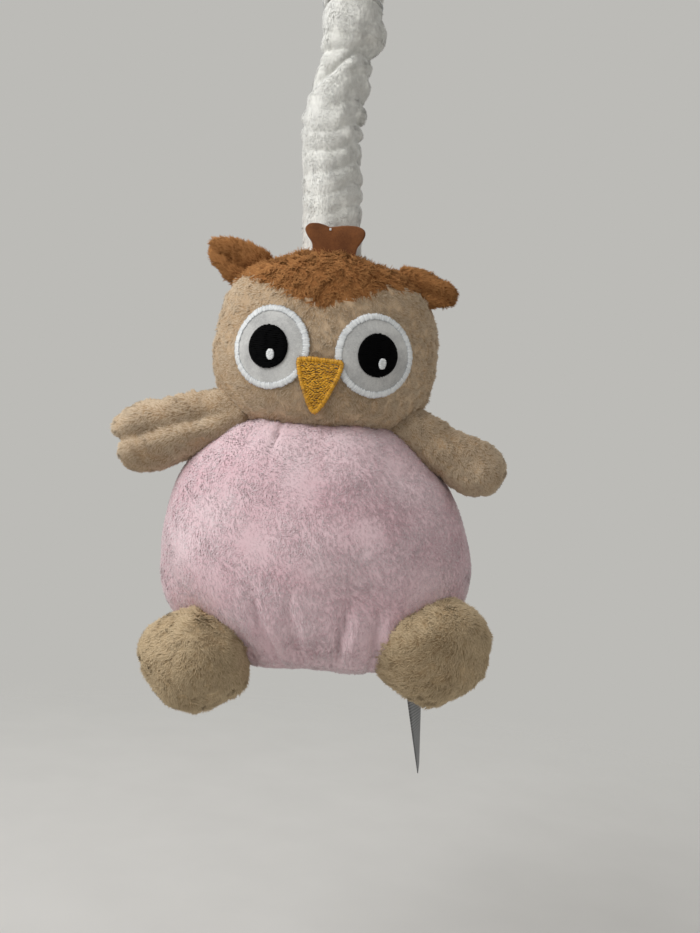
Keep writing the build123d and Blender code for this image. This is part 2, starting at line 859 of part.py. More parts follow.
def case_block():
    """Outside of the closed case."""
    block = flat(Pos(case_x, case_z) * RectangleRounded(case_width, case_height, case_corner),
                 -case_depth / 2, case_depth / 2)
    rims = block.edges().group_by(Axis.Y)
    return fillet(rims[0] + rims[-1], case_edge)


def case_solids():
    """Front and back shells, with screw bosses, plate seats and the cord hole."""
    half = case_depth / 2
    inside = half - case_wall
    hollow = flat(Pos(case_x, case_z) * RectangleRounded(
        case_width - 2 * case_wall, case_height - 2 * case_wall, case_corner - case_wall),
        -inside, inside)
    shell = case_block() - hollow
    for x, z in boss_places():
        shell += rod(x, z, boss_radius, -inside, inside)
        shell -= rod(x, z, screw_radius, -half, inside)
        shell -= rod(x, z, screw_head_radius + 0.1, -half, -half + screw_head)
    for x, z in pillar_places():
        shell += rod(x, z, pillar_radius, -inside, -plate_outer)
        shell += rod(x, z, pillar_radius, plate_outer, inside)
    shell -= upright(eyelet_bore + eyelet_wall, case_top - 2 * case_wall, case_top)
    cutter = Box(4 * case_width, 4 * case_depth, 4 * case_height)
    front = shell - Pos(0, 2 * case_depth, case_z) * cutter
    back = shell - Pos(0, -2 * case_depth, case_z) * cutter
    return front, back


def case_screws():
    """Screws driven from the front, their heads sunk flush."""
    y = -case_depth / 2 + screw_head
    length = case_depth - screw_head - 2 * case_wall
    screws = [Plane((x, y, z), z_dir=(0, -1, 0)) * screw(length) for x, z in boss_places()]
    return Compound(children=screws)


def cord_eyelet():
    flange = upright(eyelet_flange_radius, case_top, case_top + eyelet_flange)
    tube = upright(eyelet_bore + eyelet_wall, case_top - case_wall, case_top)
    return flange + tube - upright(eyelet_bore, case_top - case_wall, case_top + eyelet_flange)


# Assembly --------------------------------------------------------------------

def build_nodes():
    nodes = {
        "rail_strap": rail_strap(), "loop_patch": loop_patch(), "strap_flap": strap_flap(),
        "hook_patch": hook_patch(), "sleeve_collar": sleeve_collar(),
        "cord_anchor": cord_anchor(), "pull_cord": pull_cord(), "sleeve": sleeve(),
        "cord_tunnel": cord_tunnel(), "cord_eyelet": cord_eyelet(), "care_label": care_label(),
        "reel": reel(), "mainspring": mainspring(), "cord_winding": cord_winding(),
        "reel_arbor": reel_arbor(), "pinned_drum": pinned_drum(), "drum_wheel": drum_wheel(),
        "drum_pinion": drum_pinion(), "drum_arbor": drum_arbor(),
        "idler_pinion": idler_pinion(), "idler_wheel": idler_wheel(),
        "governor_pinion": governor_pinion(), "governor_fan": governor_fan(),
        "front_plate": plate(-plate_outer, -plate_inner),
        "back_plate": plate(plate_inner, plate_outer), "plate_pillars": plate_pillars(),
        "comb": comb(), "comb_block": comb_block(), "comb_screws": comb_screws(),
        "case_screws": case_screws(),
    }
    nodes["case_front"], nodes["case_back"] = case_solids()
    eyes = []
    for side, sign in (("left", -1), ("right", 1)):
        disc, rim, pupil, glint = eye_solids(sign)
        nodes[f"eye_disc_{side}"] = disc
        nodes[f"eye_rim_{side}"] = rim
        nodes[f"pupil_{side}"] = pupil
        nodes[f"catchlight_{side}"] = glint
        eyes += [disc, rim]
        nodes[f"wing_{side}_cover"], nodes[f"wing_{side}_stuffing"] = wing_solids(side)
        nodes[f"foot_{side}_cover"] = foot_ball(side, foot_radius) - foot_ball(side, foot_radius - cloth)
        nodes[f"foot_{side}_stuffing"] = foot_ball(side, foot_radius - cloth)
        nodes[f"ear_{side}"] = ear_solid(side)
    nodes["beak"], nodes["beak_border"] = beak_solids(eyes)
    crest = crest_felt()
    nodes["crest_felt"] = crest
    head = head_solids(eyes, crest)
    nodes["head_cover"], nodes["crown_panel"], nodes["head_stuffing"] = head
    body = body_solids(case_block())
    nodes["body_cover"], nodes["base_panel"], nodes["body_stuffing"] = body
    return nodes


os.makedirs("parts", exist_ok=True)
for node, shape in build_nodes().items():
    export_step(shape, f"parts/{node}.step")
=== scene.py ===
import json
from math import cos, pi, radians, sin

import bmesh
import bpy
import numpy as np
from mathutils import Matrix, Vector
from mathutils.bvhtree import BVHTree


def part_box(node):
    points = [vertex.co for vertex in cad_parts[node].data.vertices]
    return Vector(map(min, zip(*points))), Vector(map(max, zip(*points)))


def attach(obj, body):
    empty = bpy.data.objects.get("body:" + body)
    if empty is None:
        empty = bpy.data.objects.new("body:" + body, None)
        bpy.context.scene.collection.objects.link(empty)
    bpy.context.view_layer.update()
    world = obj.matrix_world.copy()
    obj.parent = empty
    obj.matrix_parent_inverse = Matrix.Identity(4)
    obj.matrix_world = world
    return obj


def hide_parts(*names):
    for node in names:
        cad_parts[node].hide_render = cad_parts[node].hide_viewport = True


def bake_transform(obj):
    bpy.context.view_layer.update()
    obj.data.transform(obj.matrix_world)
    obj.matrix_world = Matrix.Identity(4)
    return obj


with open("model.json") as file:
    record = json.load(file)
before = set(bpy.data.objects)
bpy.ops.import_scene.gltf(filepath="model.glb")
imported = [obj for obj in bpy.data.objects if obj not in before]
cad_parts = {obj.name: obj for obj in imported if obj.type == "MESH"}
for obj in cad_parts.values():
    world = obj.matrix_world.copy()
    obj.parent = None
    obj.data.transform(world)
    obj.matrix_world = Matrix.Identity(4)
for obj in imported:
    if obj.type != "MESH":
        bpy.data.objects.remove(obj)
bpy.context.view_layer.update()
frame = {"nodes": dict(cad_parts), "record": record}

# ---------------------------------------------------------------- studio
# The toy hangs over a pale floor in soft light from the upper left. The camera looks level at its middle and
# is tipped five degrees, as it would be in the hand.
MM = 0.001
scene = bpy.context.scene
FLOOR_Z = -0.45
FLOOR_RADIUS = 1.2
FLOOR_WHOLE, FLOOR_GONE = 0.22, 0.75       # the floor fades away between these distances
BACKDROP = "#bcbbb7"
FLOOR_PAINT = "#cfcecb"
ROOM_LIGHT = 0.45


def linear(colour):
    """An sRGB hex colour as the linear red, green, blue and alpha that a shader takes."""
    parts = [int(colour[i:i + 2], 16) / 255 for i in (1, 3, 5)]
    return [p / 12.92 if p <= 0.04045 else ((p + 0.055) / 1.055) ** 2.4 for p in parts] + [1.0]


def add(tree, kind, inputs=(), **settings):
    """Adds a node with its settings; an input is another node's output, or a plain value."""
    made = tree.nodes.new("ShaderNode" + kind)
    for name, value in settings.items():
        setattr(made, name, value)
    for name, value in dict(inputs).items():
        if isinstance(value, bpy.types.NodeSocket):
            tree.links.new(value, made.inputs[name])
        else:
            made.inputs[name].default_value = value
    return made


def material(name, **sockets):
    """A material, its node tree and its shader, with constant values set on the shader's own sockets."""
    made = bpy.data.materials.new(name)
    made.use_nodes = True
    shader = made.node_tree.nodes["Principled BSDF"]
    for socket, value in sockets.items():
        shader.inputs[socket.replace("_", " ")].default_value = value
    return made, made.node_tree, shader


def backdrop_share(tree):
    """1 for the rays that should see the plain backdrop, 0 for the rays that light the toy."""
    rays = add(tree, "LightPath").outputs
    share = add(tree, "Math", {0: rays["Is Camera Ray"], 1: rays["Is Glossy Ray"]}, operation="MAXIMUM")
    share = add(tree, "Math", {0: share.outputs[0], 1: rays["Is Transmission Ray"]}, operation="MAXIMUM")
    return share.outputs[0]


world = bpy.data.worlds.new("studio")
scene.world = world
world.use_nodes = True
sky = world.node_tree
seen = add(sky, "Background", {"Color": linear(BACKDROP), "Strength": 1.0})
lit = add(sky, "Background", {"Color": linear("#f4f2ee"), "Strength": ROOM_LIGHT})
either = add(sky, "MixShader", {0: backdrop_share(sky), 1: lit.outputs[0], 2: seen.outputs[0]})
sky.links.new(either.outputs[0], sky.nodes["World Output"].inputs["Surface"])

# Painted studio floor, matt: it only has to catch a faint shadow, and thins out before it shows an edge.
floor_paint, tree, shader = material("matt_floor_paint", Roughness=0.9)
place = add(tree, "TexCoord").outputs["Object"]
away = add(tree, "VectorMath", {0: place}, operation="LENGTH").outputs["Value"]
mottle = add(tree, "TexNoise", {"Vector": place, "Scale": 1 / 0.05, "Detail": 4.0}).outputs["Fac"]
paint = add(tree, "Mix", {0: mottle, 6: linear(FLOOR_PAINT), 7: linear("#d9d8d5")}, data_type="RGBA")
tree.links.new(paint.outputs[2], shader.inputs["Base Color"])
fade = add(tree, "MapRange", {"Value": away, 1: FLOOR_WHOLE, 2: FLOOR_GONE, 3: 1.0, 4: 0.0},
           interpolation_type="SMOOTHSTEP")
tree.links.new(fade.outputs[0], shader.inputs["Alpha"])
bm = bmesh.new()
bmesh.ops.create_circle(bm, cap_ends=True, segments=96, radius=FLOOR_RADIUS)
floor_mesh = bpy.data.meshes.new("floor")
bm.to_mesh(floor_mesh)
bm.free()
floor = bpy.data.objects.new("floor", floor_mesh)
floor.location.z = FLOOR_Z
floor_mesh.materials.append(floor_paint)
scene.collection.objects.link(floor)

camera_data = bpy.data.cameras.new("camera")
camera_data.lens = 37.6
camera_data.sensor_width = 36
camera = bpy.data.objects.new("camera", camera_data)
camera.location = (0.0153, -0.400, -0.2169)
camera.rotation_euler = (radians(90), radians(-5), 0)
scene.collection.objects.link(camera)
scene.camera = camera
scene.view_settings.view_transform = "Standard"

lamps = {"key": ((-0.76, -0.48, 0.46), 0.85, 10.4), "fill": ((0.75, -0.55, -0.10), 0.90, 0.5),
         "rim": ((0.30, 0.80, 0.30), 0.70, 1.6)}
for name, (spot, side, power) in lamps.items():
    lamp = bpy.data.lights.new(name, "AREA")
    lamp.size = side
    lamp.energy = power
    hung = bpy.data.objects.new(name, lamp)
    hung.location = spot
    hung.rotation_euler = (Vector((0, 0, -0.20)) - Vector(spot)).to_track_quat("-Z", "Y").to_euler()
    scene.collection.objects.link(hung)

# ---------------------------------------------------------------- head
# The head is a stuffed ball of cropped tan plush, sewn from curved panels over polyester wadding and closed
# by hand on the body at the neck, so it rides on the owl.
HEAD_PROFILE = [(0, 0), (0.001, 0.2), (0.012, 0.38), (0.045, 0.56), (0.12, 0.76), (0.28, 0.93), (0.55, 1.0),
                (0.78, 0.95), (0.92, 0.82), (0.975, 0.70), (1.0, 0.55), (1.0, 0.25), (1.0, 0)]
PILE_SINK = 0.14                           # the share of a tuft that starts below the skin
# The skin between the tufts takes a place on the painted root-to-tip shade: 0 is the shaded root colour.
SKIN_TONE = 0.55                           # how pale the skin between the tufts is, from root to tip
HEAD_PILE = 2.0 * MM
head_low, head_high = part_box("head_cover")
crown_low, crown_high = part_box("crown_panel")
head_high.z = crown_high.z - 2.0 * MM
head_low.z -= 1.2 * MM


def smooth_line(points, steps):
    """Points along the smooth line that passes through the given ones."""
    known = np.array(points, float)
    known = np.vstack([2 * known[0] - known[1], known, 2 * known[-1] - known[-2]])
    t = np.linspace(0, 1, steps, endpoint=False)[:, None]
    runs = []
    for a, b, c, d in zip(known, known[1:], known[2:], known[3:]):
        square = 2 * a - 5 * b + 4 * c - d
        cube = 3 * b - a - 3 * c + d
        runs.append(0.5 * (2 * b + (c - a) * t + square * t ** 2 + cube * t ** 3))
    return np.vstack(runs + [known[-2:-1]])


def object_from(name, bm):
    """Ends a bmesh as a smooth-shaded object at the origin, doubles merged and faces outward."""
    bmesh.ops.remove_doubles(bm, verts=bm.verts, dist=1e-7)
    bmesh.ops.recalc_face_normals(bm, faces=bm.faces)
    mesh = bpy.data.meshes.new(name)
    bm.to_mesh(mesh)
    bm.free()
    mesh.shade_smooth()
    made = bpy.data.objects.new(name, mesh)
    scene.collection.objects.link(made)
    return made


def spun(name, profile, around, steps):
    """A closed form: its half outline, pairs of share down and share across, turned about Z."""
    bm = bmesh.new()
    line = [bm.verts.new((max(across, 0), 0, -down)) for down, across in smooth_line(profile, steps)]
    edges = [bm.edges.new(pair) for pair in zip(line, line[1:])]
    bmesh.ops.spin(bm, geom=line + edges, axis=(0, 0, 1), cent=(0, 0, 0), angle=2 * pi, steps=around,
                   use_merge=True)
    return object_from(name, bm)


def points_of(mesh, what="co"):
    """The places, or the normals, of a mesh's vertices."""
    found = np.empty(len(mesh.vertices) * 3, np.float32)
    mesh.vertices.foreach_get(what, found)
    return found.reshape(-1, 3).astype(float)


def move_points(piece, places):
    """Puts a piece's vertices in new places."""
    piece.data.vertices.foreach_set("co", np.asarray(places, np.float32).ravel())
    piece.data.update()


def unit(vectors):
    """Each row made one long."""
    return vectors / np.maximum(np.linalg.norm(vectors, axis=-1, keepdims=True), 1e-12)


def ripple(points, size, seed):
    """Smooth three-way wandering from -1 to 1, about size metres from crest to crest."""
    rng = np.random.default_rng(seed)
    total = np.zeros((len(points), 3))
    for _ in range(14):
        wave = unit(rng.normal(size=3)) * 2 * pi / (size * rng.uniform(0.7, 1.5))
        total += np.sin(points @ wave + rng.uniform(0, 2 * pi))[:, None] * rng.normal(size=3)
    return total / 3.2


def strand_shape(sides, rings, tip):
    """One strand for copying: 1 across and 1 long up Z, cut into rings, its tip that share of its root."""
    bm = bmesh.new()
    bmesh.ops.create_cone(bm, cap_ends=True, segments=sides, radius1=0.5, radius2=0.5 * tip, depth=1.0)
    bmesh.ops.translate(bm, verts=bm.verts, vec=(0, 0, 0.5))
    for cut in range(1, rings):
        bmesh.ops.bisect_plane(bm, geom=bm.verts[:] + bm.edges[:] + bm.faces[:], plane_co=(0, 0, cut / rings),
                               plane_no=(0, 0, 1))
    bmesh.ops.remove_doubles(bm, verts=bm.verts, dist=1e-5)
    bmesh.ops.recalc_face_normals(bm, faces=bm.faces)
    bmesh.ops.triangulate(bm, faces=bm.faces)
    bm.verts.index_update()
    places = np.array([v.co for v in bm.verts])
    faces = np.array([[v.index for v in f.verts] for f in bm.faces])
    bm.free()
    return places, faces


def lay_strands(name, shape, paths, widths, facing, soften=0.0):
    """Copies a strand along many paths. Facing is the surface's normal there, and soften is how far a strand
    is shaded with it, so that a deep pile looks soft."""
    places, faces = shape
    count, stations = paths.shape[:2]
    ring = np.rint(places[:, 2] * (stations - 1)).astype(int)
    along = unit(np.gradient(paths, axis=1))[:, ring]
    side = unit(np.cross(facing[:, None, :], along))
    up = np.cross(along, side)
    round_it = side * places[:, 0, None] + up * places[:, 1, None]
    points = (paths[:, ring] + round_it * widths[:, None, None]).reshape(-1, 3)
    corners = (faces[None] + np.arange(count)[:, None, None] * len(places)).reshape(-1)
    mesh = bpy.data.meshes.new(name)
    mesh.vertices.add(len(points))
    mesh.vertices.foreach_set("co", points.astype(np.float32).ravel())
    mesh.loops.add(len(corners))
    mesh.loops.foreach_set("vertex_index", corners.astype(np.int32))
    total = len(corners) // 3
    mesh.polygons.add(total)
    mesh.polygons.foreach_set("loop_start", np.arange(0, len(corners), 3, dtype=np.int32))
    mesh.update(calc_edges=True)
    mesh.shade_smooth()
    # grown runs from 0 at a strand's root to 1 at its tip; the plush and thread shaders paint shade by it.
    grown = mesh.attributes.new("grown", "FLOAT", "POINT")
    grown.data.foreach_set("value", np.tile(places[:, 2], count).astype(np.float32))
    rng = np.random.default_rng(count)
    shade = mesh.attributes.new("shade", "FLOAT", "POINT")
    shade.data.foreach_set("value", np.repeat(rng.random(count), len(places)).astype(np.float32))
    cells = int(np.ceil(np.sqrt(total)))
    corner = np.array([[0.12, 0.12], [0.88, 0.12], [0.12, 0.88]])
    cell = np.stack([np.arange(total) % cells, np.arange(total) // cells], 1)
    atlas = mesh.uv_layers.new(name="OFBake")
    atlas.uv.foreach_set("vector", ((cell[:, None] + corner[None]) / cells).astype(np.float32).ravel())
    if soften:
        own = unit(round_it + along * (places[:, 2] > 0.99)[None, :, None])
        mixed = unit(own * (1 - soften) + facing[:, None, :] * soften).reshape(-1, 3)
        mesh.normals_split_custom_set_from_vertices(mixed.tolist())
    made = bpy.data.objects.new(name, mesh)
    scene.collection.objects.link(made)
    return made


def scatter(skin, count, rng):
    """Seeded points evenly over a skin, with the skin's normal at each."""
    mesh = skin.data
    mesh.calc_loop_triangles()
    corners = np.empty(len(mesh.loop_triangles) * 3, np.int32)
    mesh.loop_triangles.foreach_get("vertices", corners)
    points, normals = (points_of(mesh, what)[corners.reshape(-1, 3)] for what in ("co", "normal"))
    area = np.linalg.norm(np.cross(points[:, 1] - points[:, 0], points[:, 2] - points[:, 0]), axis=1)
    pick = rng.choice(len(area), count, p=area / area.sum())
    share = rng.dirichlet((1, 1, 1), count)[:, :, None]
    return (points[pick] * share).sum(1), unit((normals[pick] * share).sum(1))


TUFT = strand_shape(3, 1, 0.0)
CURLED_TUFT = strand_shape(3, 2, 0.12)


def pile(name, skin, count, length, width, lean, stroke, seed, where=None, curl=0.0, clump=4 * MM,
         sway=12, soften=0.80):
    """Grows a pile over a skin. Each tuft leans by so many degrees the way it is stroked, with a little of
    its own way and its neighbours'; where keeps the tufts of one region."""
    rng = np.random.default_rng(seed)
    if "grown" not in skin.data.attributes:
        backing = skin.data.attributes.new("grown", "FLOAT", "POINT")
        backing.data.foreach_set("value", np.full(len(skin.data.vertices), SKIN_TONE, np.float32))
    roots, normals = scatter(skin, count, rng)
    if where is not None:
        kept = where(roots)
        roots, normals = roots[kept], normals[kept]
    count = len(roots)
    own = ripple(roots, clump, seed + 1) * 0.45 + rng.normal(size=(count, 3)) * 0.22
    way = unit(stroke(roots)) + own
    way = unit(way - normals * (way * normals).sum(1, keepdims=True))
    tilt = np.radians(np.clip(lean + sway * ripple(roots, clump, seed + 2)[:, :1], 5, 82))
    axis = unit(normals * np.cos(tilt) + way * np.sin(tilt) + rng.normal(size=(count, 3)) * 0.10)
    long = length * (rng.uniform(0.75, 1.1, (count, 1)) + 0.18 * ripple(roots, clump * 2, seed + 3)[:, :1])
    shape = CURLED_TUFT if curl else TUFT
    steps = np.linspace(0, 1, 3 if curl else 2)[None, :, None]
    bend = unit(way + rng.normal(size=(count, 3)) * 0.8) * curl
    shafts = (axis[:, None] * steps + bend[:, None] * steps ** 2) * long[:, None]
    paths = (roots - normals * PILE_SINK * length)[:, None] + shafts
    wide = width * rng.uniform(0.75, 1.25, count)
    return lay_strands(name, shape, paths, wide, normals, soften)


def dress(piece, finish, slot_name, body, *nodes):
    """Gives a piece its material, the body it rides on, and the nodes it stands for. slot_name is not used.
    """
    piece.data.materials.append(finish)
    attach(piece, body)
    if nodes:
        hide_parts(*nodes)


def dyed_and_raised(tree, shader, tone, deep, pale, height, strength, depth):
    """Colours a surface from deep to pale by a tone, and raises it by a height."""
    dyed = add(tree, "Mix", {0: tone, 6: linear(deep), 7: linear(pale)}, data_type="RGBA")
    tree.links.new(dyed.outputs[2], shader.inputs["Base Color"])
    bump = add(tree, "Bump", {"Height": height, "Strength": strength, "Distance": depth})
    tree.links.new(bump.outputs["Normal"], shader.inputs["Normal"])


# Polyester plush, knitted, cropped and brushed: no gloss, a soft sheen, painted shade darkening each tuft
# towards its root under paler tips, with patches where the pile lies another way.
def plush(name, deep, pale, patch, sheen=0.25):
    made, tree, shader = material(name, Roughness=0.92, Sheen_Weight=sheen, Sheen_Roughness=0.45,
                                  Sheen_Tint=linear(pale))
    shader.inputs["Specular IOR Level"].default_value = 0.15
    place = add(tree, "TexCoord").outputs["Object"]
    grown = add(tree, "Attribute", attribute_name="grown").outputs["Fac"]
    shade = add(tree, "Attribute", attribute_name="shade").outputs["Fac"]
    lying = add(tree, "TexNoise", {"Vector": place, "Scale": 1 / patch, "Detail": 3.0, "Roughness": 0.6})
    lying = add(tree, "MapRange", {"Value": lying.outputs["Fac"], 1: 0.3, 2: 0.7, 3: -0.16, 4: 0.16})
    own = add(tree, "MapRange", {"Value": shade, 3: -0.06, 4: 0.24})
    # Painted shade: by grown, the roots take the darker colour and the tips the paler one.
    tone = add(tree, "Math", {0: grown, 1: lying.outputs[0]}, operation="ADD")
    tone = add(tree, "Math", {0: tone.outputs[0], 1: own.outputs[0]}, operation="ADD", use_clamp=True)
    nap = add(tree, "TexNoise", {"Vector": place, "Scale": 1 / (0.8 * MM), "Detail": 2.0})
    dyed_and_raised(tree, shader, tone.outputs[0], deep, pale, nap.outputs["Fac"], 0.10, 0.4 * MM)
    return made


TAN_PLUSH = plush("tan_polyester_plush", "#a2805a", "#dfcbb0", 20 * MM)
BROWN_PLUSH = plush("brown_polyester_plush", "#754622", "#b98452", 12 * MM)


def shaped(name, profile, around, steps, low, high, inset, lean=0.0):
    """A spun form fitted into a box, a little inside it to leave room for the pile, its middle moved over by
    lean from top to bottom."""
    made = spun(name, profile, around, steps)
    form = points_of(made.data)
    half = (high - low) / 2
    middle = (high + low) / 2
    across = middle.x + (-form[:, 2] - 0.5) * lean
    move_points(made, np.stack([across + form[:, 0] * (half.x - inset),
                                middle.y + form[:, 1] * (half.y - inset),
                                high.z - inset + form[:, 2] * (high.z - low.z - 2 * inset)], 1))
    return made


head = shaped("head_skin", HEAD_PROFILE, 96, 6, head_low, head_high, 1.2 * MM)
form = points_of(head.data)
lumps = ripple(form, 26 * MM, 5)[:, :1] * 0.5 * MM
form += points_of(head.data, "normal") * lumps
slump = np.exp(-((form[:, 0] - 20 * MM) / (11 * MM)) ** 2)             # the sides sag, the right one more
slump += 0.45 * np.exp(-((form[:, 0] + 22 * MM) / (9 * MM)) ** 2)
form[:, 2] -= 3.6 * MM * slump * np.clip((form[:, 2] - head_high.z + 22 * MM) / (22 * MM), 0, 1) ** 2
move_points(head, form)
face_middle = Vector(((head_low.x + head_high.x) / 2, head_low.y, -0.180))
CROWN_EDGE_X = np.array([-60, -34, -27, -11, 0, 12, 25, 40, 60]) * MM
CROWN_EDGE_Z = np.array([11.5, 11.5, 10.0, 3.2, 0.2, 6.0, 10.6, 12.5, 12.5]) * MM      # above the point


def on_crown(points):
    """True where a point of the head is on the brown crown panel, which dips to a point over the beak."""
    front = crown_low.z + np.interp(points[:, 0] - 1.4 * MM, CROWN_EDGE_X, CROWN_EDGE_Z)
    edge = np.where(points[:, 1] < 0, front, crown_low.z + CROWN_EDGE_Z[0])
    return points[:, 2] > edge + ripple(points, 5 * MM, 8)[:, 0] * 0.7 * MM


def eye_spot(side):
    """The middle of an eye's felt, from its CAD box."""
    low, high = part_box("eye_rim_" + side)
    return (low.x + high.x) / 2, (low.z + high.z) / 2


EYES = {"left": (eye_spot("left"), -1), "right": (eye_spot("right"), 1)}
EYE_RADIUS = 16.0 * MM
beak_low, beak_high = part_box("beak_border")


def on_face(points):
    """True where the felt and embroidery cover the head, so no pile grows there."""
    front = points[:, 1] < 0
    covered = np.zeros(len(points), bool)
    for (x, z), side in EYES.values():
        flat = ((points[:, 0] - x) / 0.89) ** 2 + (points[:, 2] - z) ** 2
        covered |= flat < (EYE_RADIUS - 0.6 * MM) ** 2
    down = (beak_high.z - points[:, 2]) / (beak_high.z - beak_low.z)
    reach = (beak_high.x - beak_low.x) / 2 * np.clip(1.05 - down, 0, 1)
    covered |= (down > 0.02) & (down < 1) & (abs(points[:, 0] - (beak_high.x + beak_low.x) / 2) < reach)
    return front & covered


def stroked_face(points):
    """The head's pile is stroked down, and more and more outward towards the cheeks."""
    away = (points[:, :1] - face_middle.x) / (32 * MM)
    return np.hstack([away, points[:, 1:2] * 4, -1.15 + 0.5 * abs(away)])


dress(head, TAN_PLUSH, "tan_plush", "owl", "head_cover", "head_stuffing")
head.data.materials.append(BROWN_PLUSH)
under_crown = on_crown(np.array([f.center for f in head.data.polygons]))
head.data.polygons.foreach_set("material_index", under_crown.astype(np.int32))
head_tree = BVHTree.FromObject(head, bpy.context.evaluated_depsgraph_get())
head_pile = pile("head_pile", head, 66000, HEAD_PILE, 0.62 * MM, 56, stroked_face, 11,
                 where=lambda p: ~(on_crown(p) | on_face(p)))
dress(head_pile, TAN_PLUSH, "tan_plush", "owl")

# ---------------------------------------------------------------- crown
# The crown is a cap of longer brown plush let into the head, dipping to a point between the eyes. Its pile is
# longer and curlier than the tan.
CROWN_PILE = 2.5 * MM


def stroked_crown(points):
    """The crown's pile is stroked forward and down from the crest."""
    return (points - np.array((0.0015, 0.012, -0.150))) * (1, 1, 1.2) + np.array((0, -0.004, -0.012))


crown = pile("crown_pile", head, 56000, CROWN_PILE, 0.66 * MM, 54, stroked_crown, 21, where=on_crown,
             curl=0.36)
dress(crown, BROWN_PLUSH, "brown_plush", "owl", "crown_panel")

# ---------------------------------------------------------------- eyes
# Each eye is a disc of light grey felt, held all round by a white satin-stitched rim, with a pupil and a
# catchlight embroidered on it. The discs follow the round of the head, so they look a little outward.
RIM_WIDTH = 2.5 * MM
PUPIL_RADIUS = 8.2 * MM
EYE_YAW = radians(27)
CATCHLIGHT = (3.1 * MM, 4.1 * MM)
CATCHLIGHT_OFF = (1.6 * MM, -3.0 * MM)
THREAD = strand_shape(5, 6, 0.8)


class Patch:
    """A place on a skin where flat work is sewn: its middle, its normal and its two ways across."""

    def __init__(self, tree, x, z, yaw):
        self.tree = tree
        self.out = Vector((sin(yaw), -cos(yaw), 0))
        self.across = Vector((cos(yaw), sin(yaw), 0))
        self.up = self.across.cross(self.out) * -1
        self.middle = tree.ray_cast(Vector((x, -0.2, z)), Vector((0, 1, 0)))[0]

    def seated(self, u, v, lift):
        """A point of the flat work, laid on the skin and lifted off it."""
        flat = self.middle + self.across * u + self.up * v
        found = self.tree.ray_cast(flat + self.out * 0.04, -self.out)[0]
        return np.array((found or flat) + self.out * lift)


def circle(radius_u, radius_v, count, u=0.0, v=0.0):
    """Points round a circle or an oval."""
    turn = np.linspace(0, 2 * pi, count, endpoint=False)
    return np.stack([u + np.cos(turn) * radius_u, v + np.sin(turn) * radius_v], 1)


def satin(outline, width):
    """A satin border: a stitch square across a closed outline at each of its points, its ends uneven."""
    rng = np.random.default_rng(len(outline))
    way = unit(np.roll(outline, -1, 0) - np.roll(outline, 1, 0))
    outward = np.stack([way[:, 1], -way[:, 0]], 1) * width / 2
    ends = 1 + rng.uniform(-0.24, 0.12, (2, len(outline), 1))
    return np.stack([outline - outward * ends[0], outline + outward * ends[1]], 1)


def rows(outline, spacing, stitch, seed, wander=0.0):
    """Fill stitches in rows across an outline, each row cut into stitches and staggered by the next. Their
    ends wander off the row by up to that much."""
    rng = np.random.default_rng(seed)
    after = np.roll(outline, -1, 0)
    found = []
    for n, v in enumerate(np.arange(outline[:, 1].min() + spacing / 2, outline[:, 1].max(), spacing)):
        cut = (outline[:, 1] - v) * (after[:, 1] - v) < 0
        a, b = outline[cut], after[cut]
        hits = np.sort(a[:, 0] + (b[:, 0] - a[:, 0]) * (v - a[:, 1]) / (b[:, 1] - a[:, 1]))
        if len(hits) < 2:
            continue
        ends = np.arange(hits[0] - stitch * (0.2 + 0.5 * (n % 2)), hits[-1] + stitch, stitch)
        ends = np.clip(ends + rng.uniform(-0.12, 0.12, len(ends)) * stitch, hits[0], hits[-1])
        found += [((u0, v), (u1, v)) for u0, u1 in zip(ends, ends[1:]) if u1 - u0 > spacing * 0.8]
    found = np.array(found)
    found[:, :, 1] += rng.uniform(-wander, wander, found.shape[:2])
    return found


def stitched(name, patch, pairs, thick, lift, bulge, seed):
    """Stitches between pairs of points of a patch, each lying on the skin and arched a little over it."""
    rng = np.random.default_rng(seed)
    t = np.linspace(0, 1, 7)
    paths = []
    for start, end in pairs:
        high = lift + bulge * rng.uniform(0.75, 1.2) * np.sin(pi * t) ** 0.6
        line = start + (end - start) * t[:, None]
        paths.append([patch.seated(u, v, h) for (u, v), h in zip(line, high)])
    paths = np.array(paths)
    facing = np.tile(np.array(patch.out), (len(paths), 1))
    return lay_strands(name, THREAD, paths, thick * rng.uniform(0.9, 1.12, len(paths)), facing)


